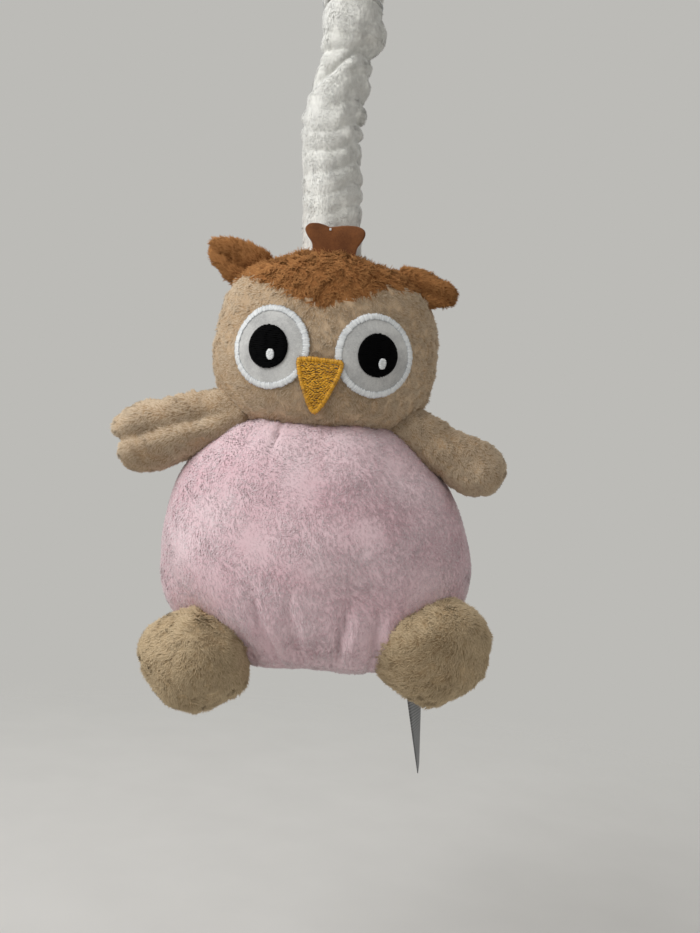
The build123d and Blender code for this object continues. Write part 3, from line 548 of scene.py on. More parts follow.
# Trilobal polyester embroidery thread, laid as satin stitch: a low silky gloss that runs along each stitch,
# and painted shade that darkens it towards the ends where it dives into the cloth.
def embroidery_thread(name, deep, pale, rough, sheen=0.15, gloss=0.5):
    made, tree, shader = material(name, Roughness=rough, Sheen_Weight=sheen, Sheen_Roughness=0.4,
                                  Anisotropic=0.4)
    shader.inputs["Specular IOR Level"].default_value = gloss
    place = add(tree, "TexCoord").outputs["Object"]
    grown = add(tree, "Attribute", attribute_name="grown").outputs["Fac"]
    shade = add(tree, "Attribute", attribute_name="shade").outputs["Fac"]
    # Painted shade: the tone falls towards both ends of each stitch, where it dives into the cloth.
    ends = add(tree, "Math", {0: grown, 1: 0.5}, operation="SUBTRACT")
    ends = add(tree, "Math", {0: ends.outputs[0]}, operation="ABSOLUTE")
    end_shade = add(tree, "MapRange", {"Value": ends.outputs[0], 1: 0.30, 2: 0.5, 3: 0.85, 4: 0.15})
    fluff = add(tree, "TexNoise", {"Vector": place, "Scale": 1 / (1.5 * MM), "Detail": 2.0})
    fluff = add(tree, "MapRange", {"Value": fluff.outputs["Fac"], 1: 0.3, 2: 0.7, 3: -0.2, 4: 0.2})
    own = add(tree, "MapRange", {"Value": shade, 3: -0.38, 4: 0.20})
    tone = add(tree, "Math", {0: end_shade.outputs[0], 1: fluff.outputs[0]}, operation="ADD")
    tone = add(tree, "Math", {0: tone.outputs[0], 1: own.outputs[0]}, operation="ADD", use_clamp=True)
    ply = add(tree, "TexNoise", {"Vector": place, "Scale": 1 / (0.25 * MM), "Detail": 1.0})
    dyed_and_raised(tree, shader, tone.outputs[0], deep, pale, ply.outputs["Fac"], 0.25, 0.1 * MM)
    return made


WHITE_THREAD = embroidery_thread("white_polyester_thread", "#c6cacd", "#f2f4f4", 0.42)
BLACK_THREAD = embroidery_thread("black_polyester_thread", "#010102", "#050506", 0.60, 0.0, 0.04)
GOLD_THREAD = embroidery_thread("gold_polyester_thread", "#7e4a04", "#edb32c", 0.36)


# Needle-punched polyester felt: dead matt, its fibres a tangle of paler and darker flecks.
def felt(name, deep, pale, fleck):
    made, tree, shader = material(name, Roughness=0.96, Sheen_Weight=0.2, Sheen_Roughness=0.6)
    shader.inputs["Specular IOR Level"].default_value = 0.2
    place = add(tree, "TexCoord").outputs["Object"]
    tangle = add(tree, "TexNoise", {"Vector": place, "Scale": 1 / fleck, "Detail": 5.0, "Roughness": 0.7,
                                    "Distortion": 1.4})
    broad = add(tree, "TexNoise", {"Vector": place, "Scale": 1 / (8 * MM), "Detail": 2.0})
    both = add(tree, "Math", {0: tangle.outputs["Fac"], 1: broad.outputs["Fac"]}, operation="ADD")
    tone = add(tree, "MapRange", {"Value": both.outputs[0], 1: 0.75, 2: 1.25})
    dyed_and_raised(tree, shader, tone.outputs[0], deep, pale, tangle.outputs["Fac"], 0.5, 0.25 * MM)
    return made


GREY_FELT = felt("grey_polyester_felt", "#a9a9a8", "#d2d2cf", 0.9 * MM)
FELT_LIFT = 1.3 * MM
RIM_LIFT, PUPIL_LIFT, GLINT_LIFT = FELT_LIFT + 0.15 * MM, FELT_LIFT + 0.7 * MM, FELT_LIFT + 1.1 * MM

for side, ((x, z), turn) in EYES.items():
    patch = Patch(head_tree, x, z, EYE_YAW * turn)
    bm = bmesh.new()
    spoke = [bm.verts.new((r * EYE_RADIUS, 0, 0)) for r in np.linspace(0, 0.95, 14)]
    edges = [bm.edges.new(pair) for pair in zip(spoke, spoke[1:])]
    bmesh.ops.spin(bm, geom=spoke + edges, axis=(0, 0, 1), cent=(0, 0, 0), angle=2 * pi, steps=96,
                   use_merge=True)
    disc = object_from("eye_felt_" + side, bm)
    laid = []
    for u, v, _ in points_of(disc.data):
        out = np.hypot(u, v) / EYE_RADIUS
        pucker = 0.16 * MM * out ** 4 * np.sin(np.arctan2(v, u) * 31) + 0.5 * MM * (1 - out ** 2)
        laid.append(patch.seated(u, v, FELT_LIFT + pucker))
    move_points(disc, laid)
    if sum(f.normal.y for f in disc.data.polygons) > 0:
        disc.data.flip_normals()
    wall = disc.modifiers.new("wall", "SOLIDIFY")
    wall.thickness = 0.8 * MM
    wall.offset = -1
    dress(disc, GREY_FELT, "grey_felt", "owl", "eye_disc_" + side)
    rim_line = satin(circle(EYE_RADIUS - RIM_WIDTH / 2, EYE_RADIUS - RIM_WIDTH / 2, 300), RIM_WIDTH)
    rim = stitched("eye_rim_satin_" + side, patch, rim_line, 0.42 * MM, RIM_LIFT, 0.24 * MM, 31)
    dress(rim, WHITE_THREAD, "white_thread", "owl", "eye_rim_" + side)
    fill = rows(circle(PUPIL_RADIUS, PUPIL_RADIUS, 90), 0.36 * MM, 9 * MM, 32)
    pupil = stitched("pupil_satin_" + side, patch, fill, 0.52 * MM, PUPIL_LIFT, 0.25 * MM, 33)
    dress(pupil, BLACK_THREAD, "black_thread", "owl", "pupil_" + side)
    fill = rows(circle(CATCHLIGHT[0] / 2, CATCHLIGHT[1] / 2, 40, *CATCHLIGHT_OFF), 0.36 * MM, 5 * MM, 34)
    glint = stitched("catchlight_satin_" + side, patch, fill, 0.52 * MM, GLINT_LIFT, 0.35 * MM, 35)
    dress(glint, WHITE_THREAD, "white_thread", "owl", "catchlight_" + side)

# ---------------------------------------------------------------- beak
# The beak is a rounded triangle embroidered over the inner edges of the eyes: a lumpy tatami fill in gold
# thread, closed by a satin border.
beak_wide = (beak_high.x - beak_low.x) / 2
beak_tall = beak_high.z - beak_low.z
beak_x = (beak_high.x + beak_low.x) / 2 - 0.6 * MM
BEAK_BORDER = 1.8 * MM
BEAK_LIFT = 2.4 * MM
beak_patch = Patch(head_tree, beak_x, (beak_high.z + beak_low.z) / 2, 0.0)
beak_corners = [(-0.96, 0.97), (-0.5, 0.99), (0.1, 0.98), (0.6, 0.97), (0.95, 0.94), (1.01, 0.82),
                (0.90, 0.42), (0.66, -0.06), (0.36, -0.56), (0.08, -0.90), (-0.12, -1.02), (-0.28, -0.90),
                (-0.52, -0.52), (-0.78, 0.0), (-0.96, 0.48), (-1.03, 0.84)]
beak_line = smooth_line(beak_corners + beak_corners[:1], 12)[:-1] * (beak_wide, beak_tall / 2)
inner_line = beak_line * (1 - BEAK_BORDER / beak_wide)
middle_line = beak_line * (1 - BEAK_BORDER / beak_wide / 2)
fill = rows(inner_line * 1.04, 0.46 * MM, 1.15 * MM, 41, 0.42 * MM)
beak_fill = stitched("beak_fill", beak_patch, fill, 0.56 * MM, BEAK_LIFT - 0.1 * MM, 0.55 * MM, 42)
dress(beak_fill, GOLD_THREAD, "gold_thread", "owl", "beak")
border = satin(middle_line[::-1], BEAK_BORDER)
beak_edge = stitched("beak_satin", beak_patch, border, 0.50 * MM, BEAK_LIFT, 0.85 * MM, 43)
dress(beak_edge, GOLD_THREAD, "gold_thread", "owl", "beak_border")

# ---------------------------------------------------------------- crest
# A little two-lobed crest of thick brown felt, its foot caught in the seam between the crown and the sleeve,
# with one white tack stitch left in its notch.
BROWN_FELT = felt("brown_polyester_felt", "#5c3314", "#834f26", 0.7 * MM)
crest_low, crest_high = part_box("crest_felt")
CREST_OUTLINE = [(-0.70, 0.0), (-0.74, 0.34), (-0.93, 0.60), (-1.0, 0.80), (-0.86, 0.95), (-0.58, 0.97),
                 (-0.36, 0.93), (-0.19, 0.89), (-0.02, 0.92), (0.30, 0.99), (0.68, 1.0), (0.93, 0.90),
                 (0.99, 0.72), (0.86, 0.46), (0.76, 0.30), (0.72, 0.0)]
CREST_DROP = 1.0 * MM                      # how far the felt has slumped into the pile
CREST_THICK = 2.4 * MM
bm = bmesh.new()
crest_size = crest_high - crest_low
crest_x = (crest_high.x + crest_low.x) / 2
ring = [bm.verts.new((crest_x + u * crest_size.x / 2, crest_low.y, crest_low.z + v * crest_size.z))
        for u, v in smooth_line(CREST_OUTLINE, 6)]
front_face = bm.faces.new(ring)
thick = bmesh.ops.extrude_face_region(bm, geom=[front_face])
bmesh.ops.translate(bm, verts=[g for g in thick["geom"] if isinstance(g, bmesh.types.BMVert)],
                    vec=(0, CREST_THICK, 0))
rim_edges = [e for e in bm.edges if abs(e.verts[0].co.y - e.verts[1].co.y) < 1e-6]
bmesh.ops.bevel(bm, geom=rim_edges, offset=0.7 * MM, segments=3, profile=0.5, affect="EDGES", material=-1)
crest = object_from("crest", bm)
form = points_of(crest.data)
wave = 0.9 * MM * np.sin((form[:, 0] - crest_x) / crest_size.x * 2 * pi)
form[:, 1] += wave * (form[:, 2] - crest_low.z) / crest_size.z
form[:, 1] -= 1.0 * MM
form[:, 2] -= CREST_DROP
move_points(crest, form)
dress(crest, BROWN_FELT, "brown_felt", "owl", "crest_felt")
tack_z = crest_low.z + crest_size.z * 0.80 - CREST_DROP
tack_x = crest_x - 2.3 * MM
tack = [[(tack_x + 0.26 * MM * n, crest_low.y - 1.5 * MM, tack_z + d * 0.6 * MM)
         for d in np.linspace(-0.8, 0.8, 7)] for n in range(3)]
tack_stitch = lay_strands("crest_tack", THREAD, np.array(tack), np.full(3, 0.32 * MM),
                          np.tile((0, -1.0, 0), (3, 1)))
dress(tack_stitch, WHITE_THREAD, "white_thread", "owl")

# ---------------------------------------------------------------- ears
# Two ears of the brown plush, folded and lightly filled, sewn into the crown's side seams. The left one
# stands out and up; the right one has flopped over sideways.
EAR_PROFILE = [(0, 0), (0, 0.7), (0.06, 0.96), (0.25, 1.0), (0.50, 0.90), (0.75, 0.70), (0.92, 0.46),
               (0.99, 0.24), (1.0, 0)]


def limb(name, profile, root, tip, width, thick, around, steps):
    """A stuffed limb: spun about its length, flattened front to back, and laid from root to tip."""
    made = spun(name, profile, around, steps)
    form = points_of(made.data)
    run = Vector(tip) - Vector(root)
    along = run.normalized()
    deep = (Vector((0, 1, 0)) - along * along.y).normalized()
    side = along.cross(deep)
    places = np.array(root) - form[:, 2:] * np.array(run) + form[:, :1] * np.array(side) * width / 2
    move_points(made, places + form[:, 1:2] * np.array(deep) * thick / 2)
    from_middle = points_of(made.data) - np.array(root) - np.array(run) / 2
    if (points_of(made.data, "normal") * from_middle).sum() < 0:
        made.data.flip_normals()
    return made


# Each ear's root and tip, its width and its thickness in millimetres.
ears = {"left": ((-0.0270, -0.004, -0.1430), (-0.0478, -0.008, -0.1330), 17.5, 8.0),
        "right": ((0.0285, -0.004, -0.1415), (0.0508, -0.011, -0.1462), 14.5, 8.5)}
for side, (root, tip, width, thick) in ears.items():
    ear = limb("ear_" + side + "_skin", EAR_PROFILE, root, tip, width * MM, thick * MM, 40, 5)
    form = points_of(ear.data)
    middle_line_z = root[2] + (form[:, 0] - root[0]) / (tip[0] - root[0]) * (tip[2] - root[2])
    fold = np.exp(-((form[:, 2] - middle_line_z + 1.5 * MM) / (2.4 * MM)) ** 2)
    form[:, 1] += fold * (form[:, 1] < root[1] - 1 * MM) * 2.2 * MM
    move_points(ear, form)
    dress(ear, BROWN_PLUSH, "brown_plush", "ear_" + side, "ear_" + side)
    outward = np.array(Vector(tip) - Vector(root))
    fuzz = pile("ear_" + side + "_pile", ear, 8000, 2.1 * MM, 0.64 * MM, 58, lambda p: p * 0 + outward, 51,
                curl=0.35)
    dress(fuzz, BROWN_PLUSH, "brown_plush", "ear_" + side)

# ---------------------------------------------------------------- body
# The body is a round bag of pale pink plush around the musical movement, gathered under its base, with a
# short dart below the left of the neck. The cloth falls in soft folds towards the gathers.
BODY_PROFILE = [(0, 0), (0, 0.22), (0.0, 0.40), (0.025, 0.53), (0.10, 0.68), (0.27, 0.885), (0.53, 1.0),
                (0.78, 0.93), (0.93, 0.74), (0.985, 0.58), (1.0, 0.42), (0.985, 0.2), (0.98, 0)]
BODY_PILE = 1.6 * MM
PINK_PLUSH = plush("pink_polyester_plush", "#cc9ca6", "#f3e3e6", 24 * MM, sheen=0.35)
body_low, body_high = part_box("body_cover")
body_low.z += 1.0 * MM
body_high.z += 4.0 * MM
BODY_LEAN = 8.0 * MM
body = shaped("body_skin", BODY_PROFILE, 180, 8, body_low, body_high, 1.2 * MM, lean=BODY_LEAN)
form = points_of(body.data)
normals = points_of(body.data, "normal")
down = (body_high.z - form[:, 2]) / (body_high.z - body_low.z)
middle_x = (body_low.x + body_high.x) / 2 + (down - 0.5) * BODY_LEAN
turn = np.arctan2(form[:, 1], form[:, 0] - middle_x)
slack = np.sin(3 * turn + 0.6) * 0.35 + np.sin(2 * turn - 1.1) * 0.3
folds = np.abs(np.sin(8.5 * turn + slack * 3 + 0.5)) ** 0.7 - 0.7
facing_us = np.clip(-np.sin(turn) * 2.2 - 0.6, 0, 1)
gathers = np.clip((down - 0.62) / 0.30, 0, 1) ** 1.6 * 2.6 * MM * folds * (1 - facing_us)
# The foot and the head of each crease across, its top and its depth, in millimetres.
CREASES = ((-12.5, -21, -276, 2.0), (-3.0, -16, -262, 2.4), (5.4, -1.5, -263, 2.2), (15.0, 22, -266, 3.2),
           (30.0, 33.5, -268, 3.0))
for foot, head_end, top, deep in np.array(CREASES) * MM:
    rise = np.clip((top - form[:, 2]) / (top - body_low.z), 0, 1)
    line_x = head_end + (foot - head_end) * rise
    gathers -= facing_us * deep * 2.0 * rise ** 0.7 * np.exp(-((form[:, 0] - line_x) / (1.4 * MM)) ** 2)
    gathers += facing_us * deep * 0.8 * rise * np.exp(-((form[:, 0] - line_x - 4.5 * MM) / (3 * MM)) ** 2)
tucks = np.clip((0.22 - down) / 0.2, 0, 1) ** 1.5 * 0.7 * MM
tucks *= np.abs(np.sin(7 * turn + slack * 2)) ** 0.7 - 0.6
dart_x = -12.3 * MM + (form[:, 2] + 0.206) * 0.16
dart = np.exp(-((form[:, 0] - dart_x) / (0.9 * MM)) ** 2) * np.clip((form[:, 2] + 0.224) / 0.012, 0, 1)
dart *= (form[:, 1] < 0) * 1.5 * MM
lumps = ripple(form, 42 * MM, 61)[:, 0] * 0.9 * MM
form[:, 0] -= 2.4 * MM * 4 * down * (1 - down)
move_points(body, form + normals * (1, 1, 0) * gathers[:, None] + normals * (tucks - dart + lumps)[:, None])
dress(body, PINK_PLUSH, "pink_plush", "owl", "body_cover", "body_stuffing", "base_panel")


def stroked_body(points):
    """The body's pile is stroked down and a little to the right."""
    return points * 0 + np.array((0.18, 0.0, -1.0)) + ripple(points, 30 * MM, 62) * 0.35


for part, seed, half in (("front", 63, lambda p: p[:, 1] < 0), ("back", 64, lambda p: p[:, 1] >= 0)):
    nap = pile("body_pile_" + part, body, 90000, BODY_PILE, 0.56 * MM, 62, stroked_body, seed, where=half,
               clump=9 * MM, sway=4, soften=0.90)
    dress(nap, PINK_PLUSH, "pink_plush", "owl")

# ---------------------------------------------------------------- wings
# Each wing is a long pad of the tan plush, lightly filled and hinged by the hand-sewn seam at the shoulder.
# The left one is broad with a soft groove along it; the right one is slimmer.
WING_PROFILE = [(0, 0), (0, 0.40), (0.03, 0.66), (0.15, 0.78), (0.40, 0.88), (0.66, 0.98), (0.84, 0.97),
                (0.95, 0.74), (0.995, 0.38), (1.0, 0)]
WING_PILE = 2.2 * MM
# Each wing's root and tip, its width, its thickness and its groove's depth in millimetres.
wings = {"left": ((-0.0265, -0.008, -0.1985), (-0.0785, -0.010, -0.2160), 27.0, 20.0, 2.0),
         "right": ((0.0290, -0.008, -0.1950), (0.0752, -0.010, -0.2185), 20.5, 18.0, 0.3)}
for side, (root, tip, width, thick, groove) in wings.items():
    wing = limb("wing_" + side + "_skin", WING_PROFILE, root, tip, width * MM, thick * MM, 64, 8)
    form = points_of(wing.data)
    normals = points_of(wing.data, "normal")
    reach = (form[:, 0] - root[0]) / (tip[0] - root[0])
    line_z = root[2] + reach * (tip[2] - root[2])
    channel = np.exp(-((form[:, 2] - line_z - 1.5 * MM) / (3.0 * MM)) ** 2) * np.clip(reach * 3, 0, 1)
    lumps = ripple(form, 18 * MM, 71)[:, 0] * 0.8 * MM
    move_points(wing, form + normals * (lumps - channel * groove * MM)[:, None])
    dress(wing, TAN_PLUSH, "tan_plush", "wing_" + side, "wing_" + side + "_cover",
          "wing_" + side + "_stuffing")
    outward = np.array(Vector(tip) - Vector(root)) + np.array((0, 0, -0.02))
    nap = pile("wing_" + side + "_pile", wing, 20000, WING_PILE, 0.85 * MM, 55, lambda p: p * 0 + outward, 72,
               clump=5 * MM)
    dress(nap, TAN_PLUSH, "tan_plush", "wing_" + side)

# ---------------------------------------------------------------- feet
# The feet are two balls of the tan plush with a longer pile, each hung by one seam in front of the body.
FOOT_PILE = 3.0 * MM
FOOT_PROFILE = [(0, 0), (0.0, 0.12), (0.06, 0.47), (0.15, 0.71), (0.30, 0.92), (0.5, 1.0), (0.70, 0.92),
                (0.85, 0.71), (0.94, 0.47), (1.0, 0.12), (1.0, 0)]
FOOT_PLUSH = plush("long_tan_polyester_plush", "#8e7351", "#dbc5a2", 12 * MM)
# Each foot's parting, how far its pile swirls, and what the loose pile adds to its box below and above.
feet = {"left": (0.15, 0.1, (-0.5, 0, 1.9), (1.9, 0, 0)), "right": (0.45, 0.6, (-4.0, 0, 1.4), (1.2, 0, 3.0))}
for side, (across, swirl, below, above) in feet.items():
    low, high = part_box("foot_" + side + "_cover")
    low += Vector(below) * MM
    high += Vector(above) * MM
    foot = shaped("foot_" + side + "_skin", FOOT_PROFILE, 64, 6, low, high, 2.2 * MM)
    form = points_of(foot.data)
    move_points(foot, form + points_of(foot.data, "normal") * ripple(form, 22 * MM, 81)[:, :1] * 0.8 * MM)
    dress(foot, FOOT_PLUSH, "tan_plush", "foot_" + side, "foot_" + side + "_cover",
          "foot_" + side + "_stuffing")
    heart = np.array((low + high) / 2) + np.array((across * 12 * MM, -0.004, 0.012))

    def stroked_foot(points, heart=heart, swirl=swirl):
        """The pile parts at the front of the foot and turns round the parting."""
        away = unit(points - heart)
        return away + np.cross(away, np.tile((0.0, -1.0, 0.0), (len(points), 1))) * swirl

    nap = pile("foot_" + side + "_pile", foot, 34000, FOOT_PILE, 0.68 * MM, 60, stroked_foot, 82,
               clump=5 * MM)
    dress(nap, FOOT_PLUSH, "tan_plush", "foot_" + side)

# ---------------------------------------------------------------- care label
# A narrow folded tape sewn into the base seam, left bare. It hangs edge-on with a slight twist.
label_low, label_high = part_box("care_label")
LABEL_FLAT = (label_high.y - label_low.y, label_high.z - label_low.z)
LABEL_SHIFT, LABEL_SLANT = -7.1 * MM, 6.6 * MM
# Woven polyester label tape, calendered: a faint crosswise rib and a dull, slightly silky face.
label_tape, tree, shader = material("woven_label_tape", Roughness=0.6, Sheen_Weight=0.1)
place = add(tree, "TexCoord").outputs["Object"]
ribs = add(tree, "TexWave", {"Vector": place, "Scale": 1 / (0.6 * MM) / 6.283, "Distortion": 0.6,
                             "Detail": 1.0}, bands_direction="Z")
# Uneven patches that pull the tape further towards the painted shade grey.
label_mottle = add(tree, "TexNoise", {"Vector": place, "Scale": 1 / (5 * MM), "Detail": 3.0})
tone = add(tree, "Math", {0: ribs.outputs["Fac"], 1: label_mottle.outputs["Fac"]}, operation="MULTIPLY")
# Painted shade: the pale tape is coloured dark grey, in uneven patches, for the shadow it hangs in under the
# foot.
dyed_and_raised(tree, shader, tone.outputs[0], "#505153", "#a3a5a5", ribs.outputs["Fac"], 0.4, 0.1 * MM)

bm = bmesh.new()
label_x = (label_low.x + label_high.x) / 2
bmesh.ops.create_grid(bm, x_segments=8, y_segments=30, size=0.5)
label = object_from("label", bm)
form = points_of(label.data)
drop = 0.5 - form[:, 1]
twist = radians(30) * (1 - drop) + radians(6)
half = form[:, 0] * LABEL_FLAT[0]
move_points(label, np.stack([label_x + LABEL_SHIFT + LABEL_SLANT * drop + half * np.sin(twist),
                             (label_low.y + label_high.y) / 2 + half * np.cos(twist),
                             label_high.z - drop * LABEL_FLAT[1]], 1))
wall = label.modifiers.new("wall", "SOLIDIFY")
wall.thickness = 0.35 * MM
wall.offset = 0
label.data.materials.append(label_tape)
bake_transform(label)
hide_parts("care_label")

# ---------------------------------------------------------------- sleeve
# A gathered tube of ivory velboa that hides the pull cord. Its upper hem is stitched round the collar and its
# foot is caught in the crown seam; the spare length sits in folds.
SLEEVE_RADIUS = 11.6 * MM
SLEEVE_PILE = 1.3 * MM
IVORY_PLUSH = plush("ivory_polyester_velboa", "#e4e3db", "#fafaf6", 24 * MM, sheen=0.3)
sleeve_low, sleeve_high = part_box("sleeve")
sleeve_low.z -= 3.0 * MM                   # its foot goes into the crown
SWAY_AT = np.array([0, 13, 18, 29, 39, 49, 59, 70, 86, 99]) * MM
SWAY_X = np.array([0.6, 1.2, -0.5, -2.0, -4.2, -4.7, -3.7, -2.2, -0.8, 0.2]) * MM
WAIST_AT = np.array([0, 8, 13, 17, 20, 26, 39, 50, 99]) * MM
WAIST = np.array([0, 0.9, 0.6, -0.9, -2.4, -1.4, -0.6, -0.4, 0]) * MM     # what the bunch above draws in
bm = bmesh.new()
line = [bm.verts.new((1, 0, z)) for z in np.linspace(sleeve_high.z, sleeve_low.z, 260)]
edges = [bm.edges.new(pair) for pair in zip(line, line[1:])]
bmesh.ops.spin(bm, geom=line + edges, axis=(0, 0, 1), cent=(0, 0, 0), angle=2 * pi, steps=120, use_merge=True)
sleeve = object_from("sleeve_skin", bm)
form = points_of(sleeve.data)
turn = np.arctan2(form[:, 1], form[:, 0])
drop = sleeve_high.z - form[:, 2]
slack = 1.1 * np.sin(turn + 0.9) + 0.8 * np.sin(2 * turn + 2.0)
slack += ripple(form * (0.008, 0.008, 1), 30 * MM, 91)[:, 0]
phase = drop / (9.5 * MM) * 2 * pi + slack * 1.5
amount = np.interp(drop, np.array([0, 4, 10, 26, 36, 60, 74, 88, 99]) * MM,
                   np.array([0.3, 1.4, 2.0, 1.6, 2.6, 2.6, 2.0, 0.9, 0.5]) * MM)
hidden = np.clip(0.50 + 0.98 * np.cos(turn - radians(74)), 0.14, 1.5)
amount *= hidden * (0.85 + 0.3 * ripple(form * (0.010, 0.010, 1), 17 * MM, 92)[:, 0])
crumple = amount * (np.abs(np.sin(phase / 2)) ** 1.3 * 2 - 1.0)
across = np.cos(turn)
front = np.clip(-np.sin(turn) * 1.5 + 0.3, 0, 1)
crease_at = (25 - 11 * across) * MM
crease = -1.6 * MM * np.exp(-((drop - crease_at) / (2.6 * MM)) ** 2) * front
puff = -1.0 * MM * np.exp(-((drop - 15 * MM) / (5 * MM)) ** 2) * np.clip(across + 0.3, 0, 1)
upright = np.sin(5 * turn + 2.0 * np.sin(drop / (16 * MM))) * 0.35 * MM
radius = SLEEVE_RADIUS + np.interp(drop, WAIST_AT, WAIST) + crumple + crease + puff + upright
sway = np.interp(drop, SWAY_AT, SWAY_X)
move_points(sleeve, np.stack([form[:, 0] * radius + sway, form[:, 1] * radius, form[:, 2]], 1))
soft = sleeve.modifiers.new("soft", "SMOOTH")
soft.iterations = 2
sleeve.data.materials.append(IVORY_PLUSH)
bpy.context.view_layer.update()
smoothed = bpy.data.meshes.new_from_object(sleeve.evaluated_get(bpy.context.evaluated_depsgraph_get()))
sleeve.modifiers.clear()
sleeve.data = smoothed
sleeve_pile = pile("sleeve_pile", sleeve, 47000, SLEEVE_PILE, 0.56 * MM, 60,
                   lambda p: p * 0 + (0, 0, -1.0), 93, sway=6, soften=0.88)
sleeve_pile.data.materials.append(IVORY_PLUSH)
for cloth in (sleeve, sleeve_pile):
    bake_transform(cloth)
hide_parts("sleeve")

# ---------------------------------------------------------------- collar
# A short stuffed collar of the same velboa closes the sleeve's upper end. It is sewn to the rail strap, and a
# row of white stitches shows where the sleeve's hem is caught on it.
collar_low, collar_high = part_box("sleeve_collar")
COLLAR_PROFILE = [(0, 0), (0, 0.5), (0.02, 0.86), (0.12, 0.95), (0.45, 1.0), (0.80, 0.98), (0.97, 0.90),
                  (1.0, 0.70), (1.0, 0.3), (1.0, 0)]
COLLAR_SEAT = 20.4 * MM                    # the radius about the rail that its top is hollowed to
HEM_RADIUS, HEM_Z = 12.3 * MM, -28.6 * MM
collar = shaped("collar_skin", COLLAR_PROFILE, 96, 6, collar_low, collar_high, 0.6 * MM)
form = points_of(collar.data)
turn = np.arctan2(form[:, 1], form[:, 0])
pinch = 0.45 * MM * np.sin(11 * turn + 1.5 * np.sin(3 * turn)) * (collar_high.z - form[:, 2]) / (15 * MM)
seat = np.sqrt(np.maximum(COLLAR_SEAT ** 2 - form[:, 1] ** 2, 0))
form[:, 2] = np.minimum(form[:, 2], -seat)
move_points(collar, form + points_of(collar.data, "normal") * (1, 1, 0) * pinch[:, None])
collar_pile = pile("collar_pile", collar, 9000, SLEEVE_PILE, 0.55 * MM, 58,
                   lambda p: p * 0 + (0, 0, -1.0), 101, where=lambda p: p[:, 2] < -16.5 * MM)
hem = []
for angle in np.arange(0, 360, 7.5):
    run = np.radians(np.linspace(angle, angle + 4.5, 7))
    out = HEM_RADIUS + 0.25 * MM * np.sin(np.linspace(0, pi, 7))
    hem.append(np.stack([np.cos(run) * out, np.sin(run) * out, np.full(7, HEM_Z)], 1))
hem = np.array(hem)
hem_stitches = lay_strands("hem_stitches", THREAD, hem, np.full(len(hem), 0.45 * MM),
                           unit(hem[:, 3] * (1, 1, 0)))
dress(collar, IVORY_PLUSH, "ivory_plush", "hanger", "sleeve_collar")
dress(collar_pile, IVORY_PLUSH, "ivory_plush", "hanger")
dress(hem_stitches, WHITE_THREAD, "white_thread", "hanger")

# ---------------------------------------------------------------- rail strap
# The strap is ivory polyester webbing looped round the crib rail, with a flap that closes over its front on a
# patch of touch tape. Both are stitched along their edges.
STRAP_HALF = 12.5 * MM
# Radii about the rail's axis, and angles from the back over the top in degrees.
LOOP_IN, LOOP_OUT = 18.0 * MM, 20.0 * MM
HEM_OUT = 22.4 * MM
FLAP_IN, FLAP_OUT = 22.7 * MM, 24.7 * MM
TAPE_THICK = 1.2 * MM
LOOP_FROM, LOOP_TO, HEM_FROM = -200, 70, 59
FLAP_FROM, FLAP_TO = 64.5, 190
TAPE_FROM, TAPE_TO = 161, 189
STITCH_PITCH, STITCH_LONG = 2.6 * MM, 1.9 * MM
EDGE_ROWS = (-10.6 * MM, 10.6 * MM)
BOX_ROWS = (-7.5 * MM, 7.5 * MM)


def edge_stitches(name, radius, first, last, across, body):
    """Rows of stitches along a curved band, round the rail's axis, at these places across it."""
    step = STITCH_PITCH / radius
    paths = []
    for x in across:
        for start in np.arange(radians(first), radians(last) - step, step):
            run = np.linspace(start, start + STITCH_LONG / radius, 7)
            out = radius + 0.22 * MM * np.sin(np.linspace(0, pi, 7))
            paths.append(np.stack([np.full(7, x), np.cos(run) * out, np.sin(run) * out], 1))
    paths = np.array(paths)
    made = lay_strands(name, THREAD, paths, np.full(len(paths), 0.42 * MM), unit(paths[:, 3] * (0, 1, 1)))
    dress(made, WHITE_THREAD, "white_thread", body)


edge_stitches("strap_stitches", LOOP_OUT, LOOP_FROM + 2, HEM_FROM - 3, EDGE_ROWS, "hanger")
edge_stitches("flap_stitches", FLAP_OUT, 68, FLAP_TO - 3, EDGE_ROWS, "strap_flap")
edge_stitches("flap_box_stitches", FLAP_OUT, TAPE_FROM - 3, FLAP_TO - 3, BOX_ROWS, "strap_flap")


# Polyester webbing or braid, plain woven from flat yarns about 1 mm wide: a basket of small raised ribs,
# matt, a little fuzzy where it is handled. On webbing the ribs follow the strip as it bends.
def woven(name, deep, pale, yarn, rough, strip=False):
    made, tree, shader = material(name, Roughness=rough, Sheen_Weight=0.2)
    place = add(tree, "TexCoord").outputs["Object"]
    if strip:
        place = add(tree, "Attribute", attribute_name="weave").outputs["Vector"]
    warp, weft = (add(tree, "TexWave", {"Vector": place, "Scale": 1 / yarn / 6.283, "Distortion": 0.4,
                                        "Detail": 1.0}, bands_direction=way).outputs["Fac"] for way in "XZ")
    over = add(tree, "Math", {0: warp, 1: weft}, operation="MULTIPLY")
    handled = add(tree, "TexNoise", {"Vector": place, "Scale": 1 / (9 * MM), "Detail": 4.0})
    tone = add(tree, "Math", {0: over.outputs[0], 1: handled.outputs["Fac"]}, operation="ADD", use_clamp=True)
    dyed_and_raised(tree, shader, tone.outputs[0], deep, pale, over.outputs[0], 0.6, 0.25 * MM)
    return made


# Touch tape: one face a nap of tiny loops, the other a field of stiff moulded hooks. Both are finer than can
# show, so they are drawn about 1 mm apart.
def touch_tape(name, deep, pale, pitch, rough):
    made, tree, shader = material(name, Roughness=rough)
    place = add(tree, "TexCoord").outputs["Object"]
    loops = add(tree, "TexVoronoi", {"Vector": place, "Scale": 1 / pitch, "Randomness": 0.5})
    from_middle = loops.outputs["Distance"]
    dyed_and_raised(tree, shader, from_middle, pale, deep, from_middle, 0.8, 0.4 * MM)
    return made


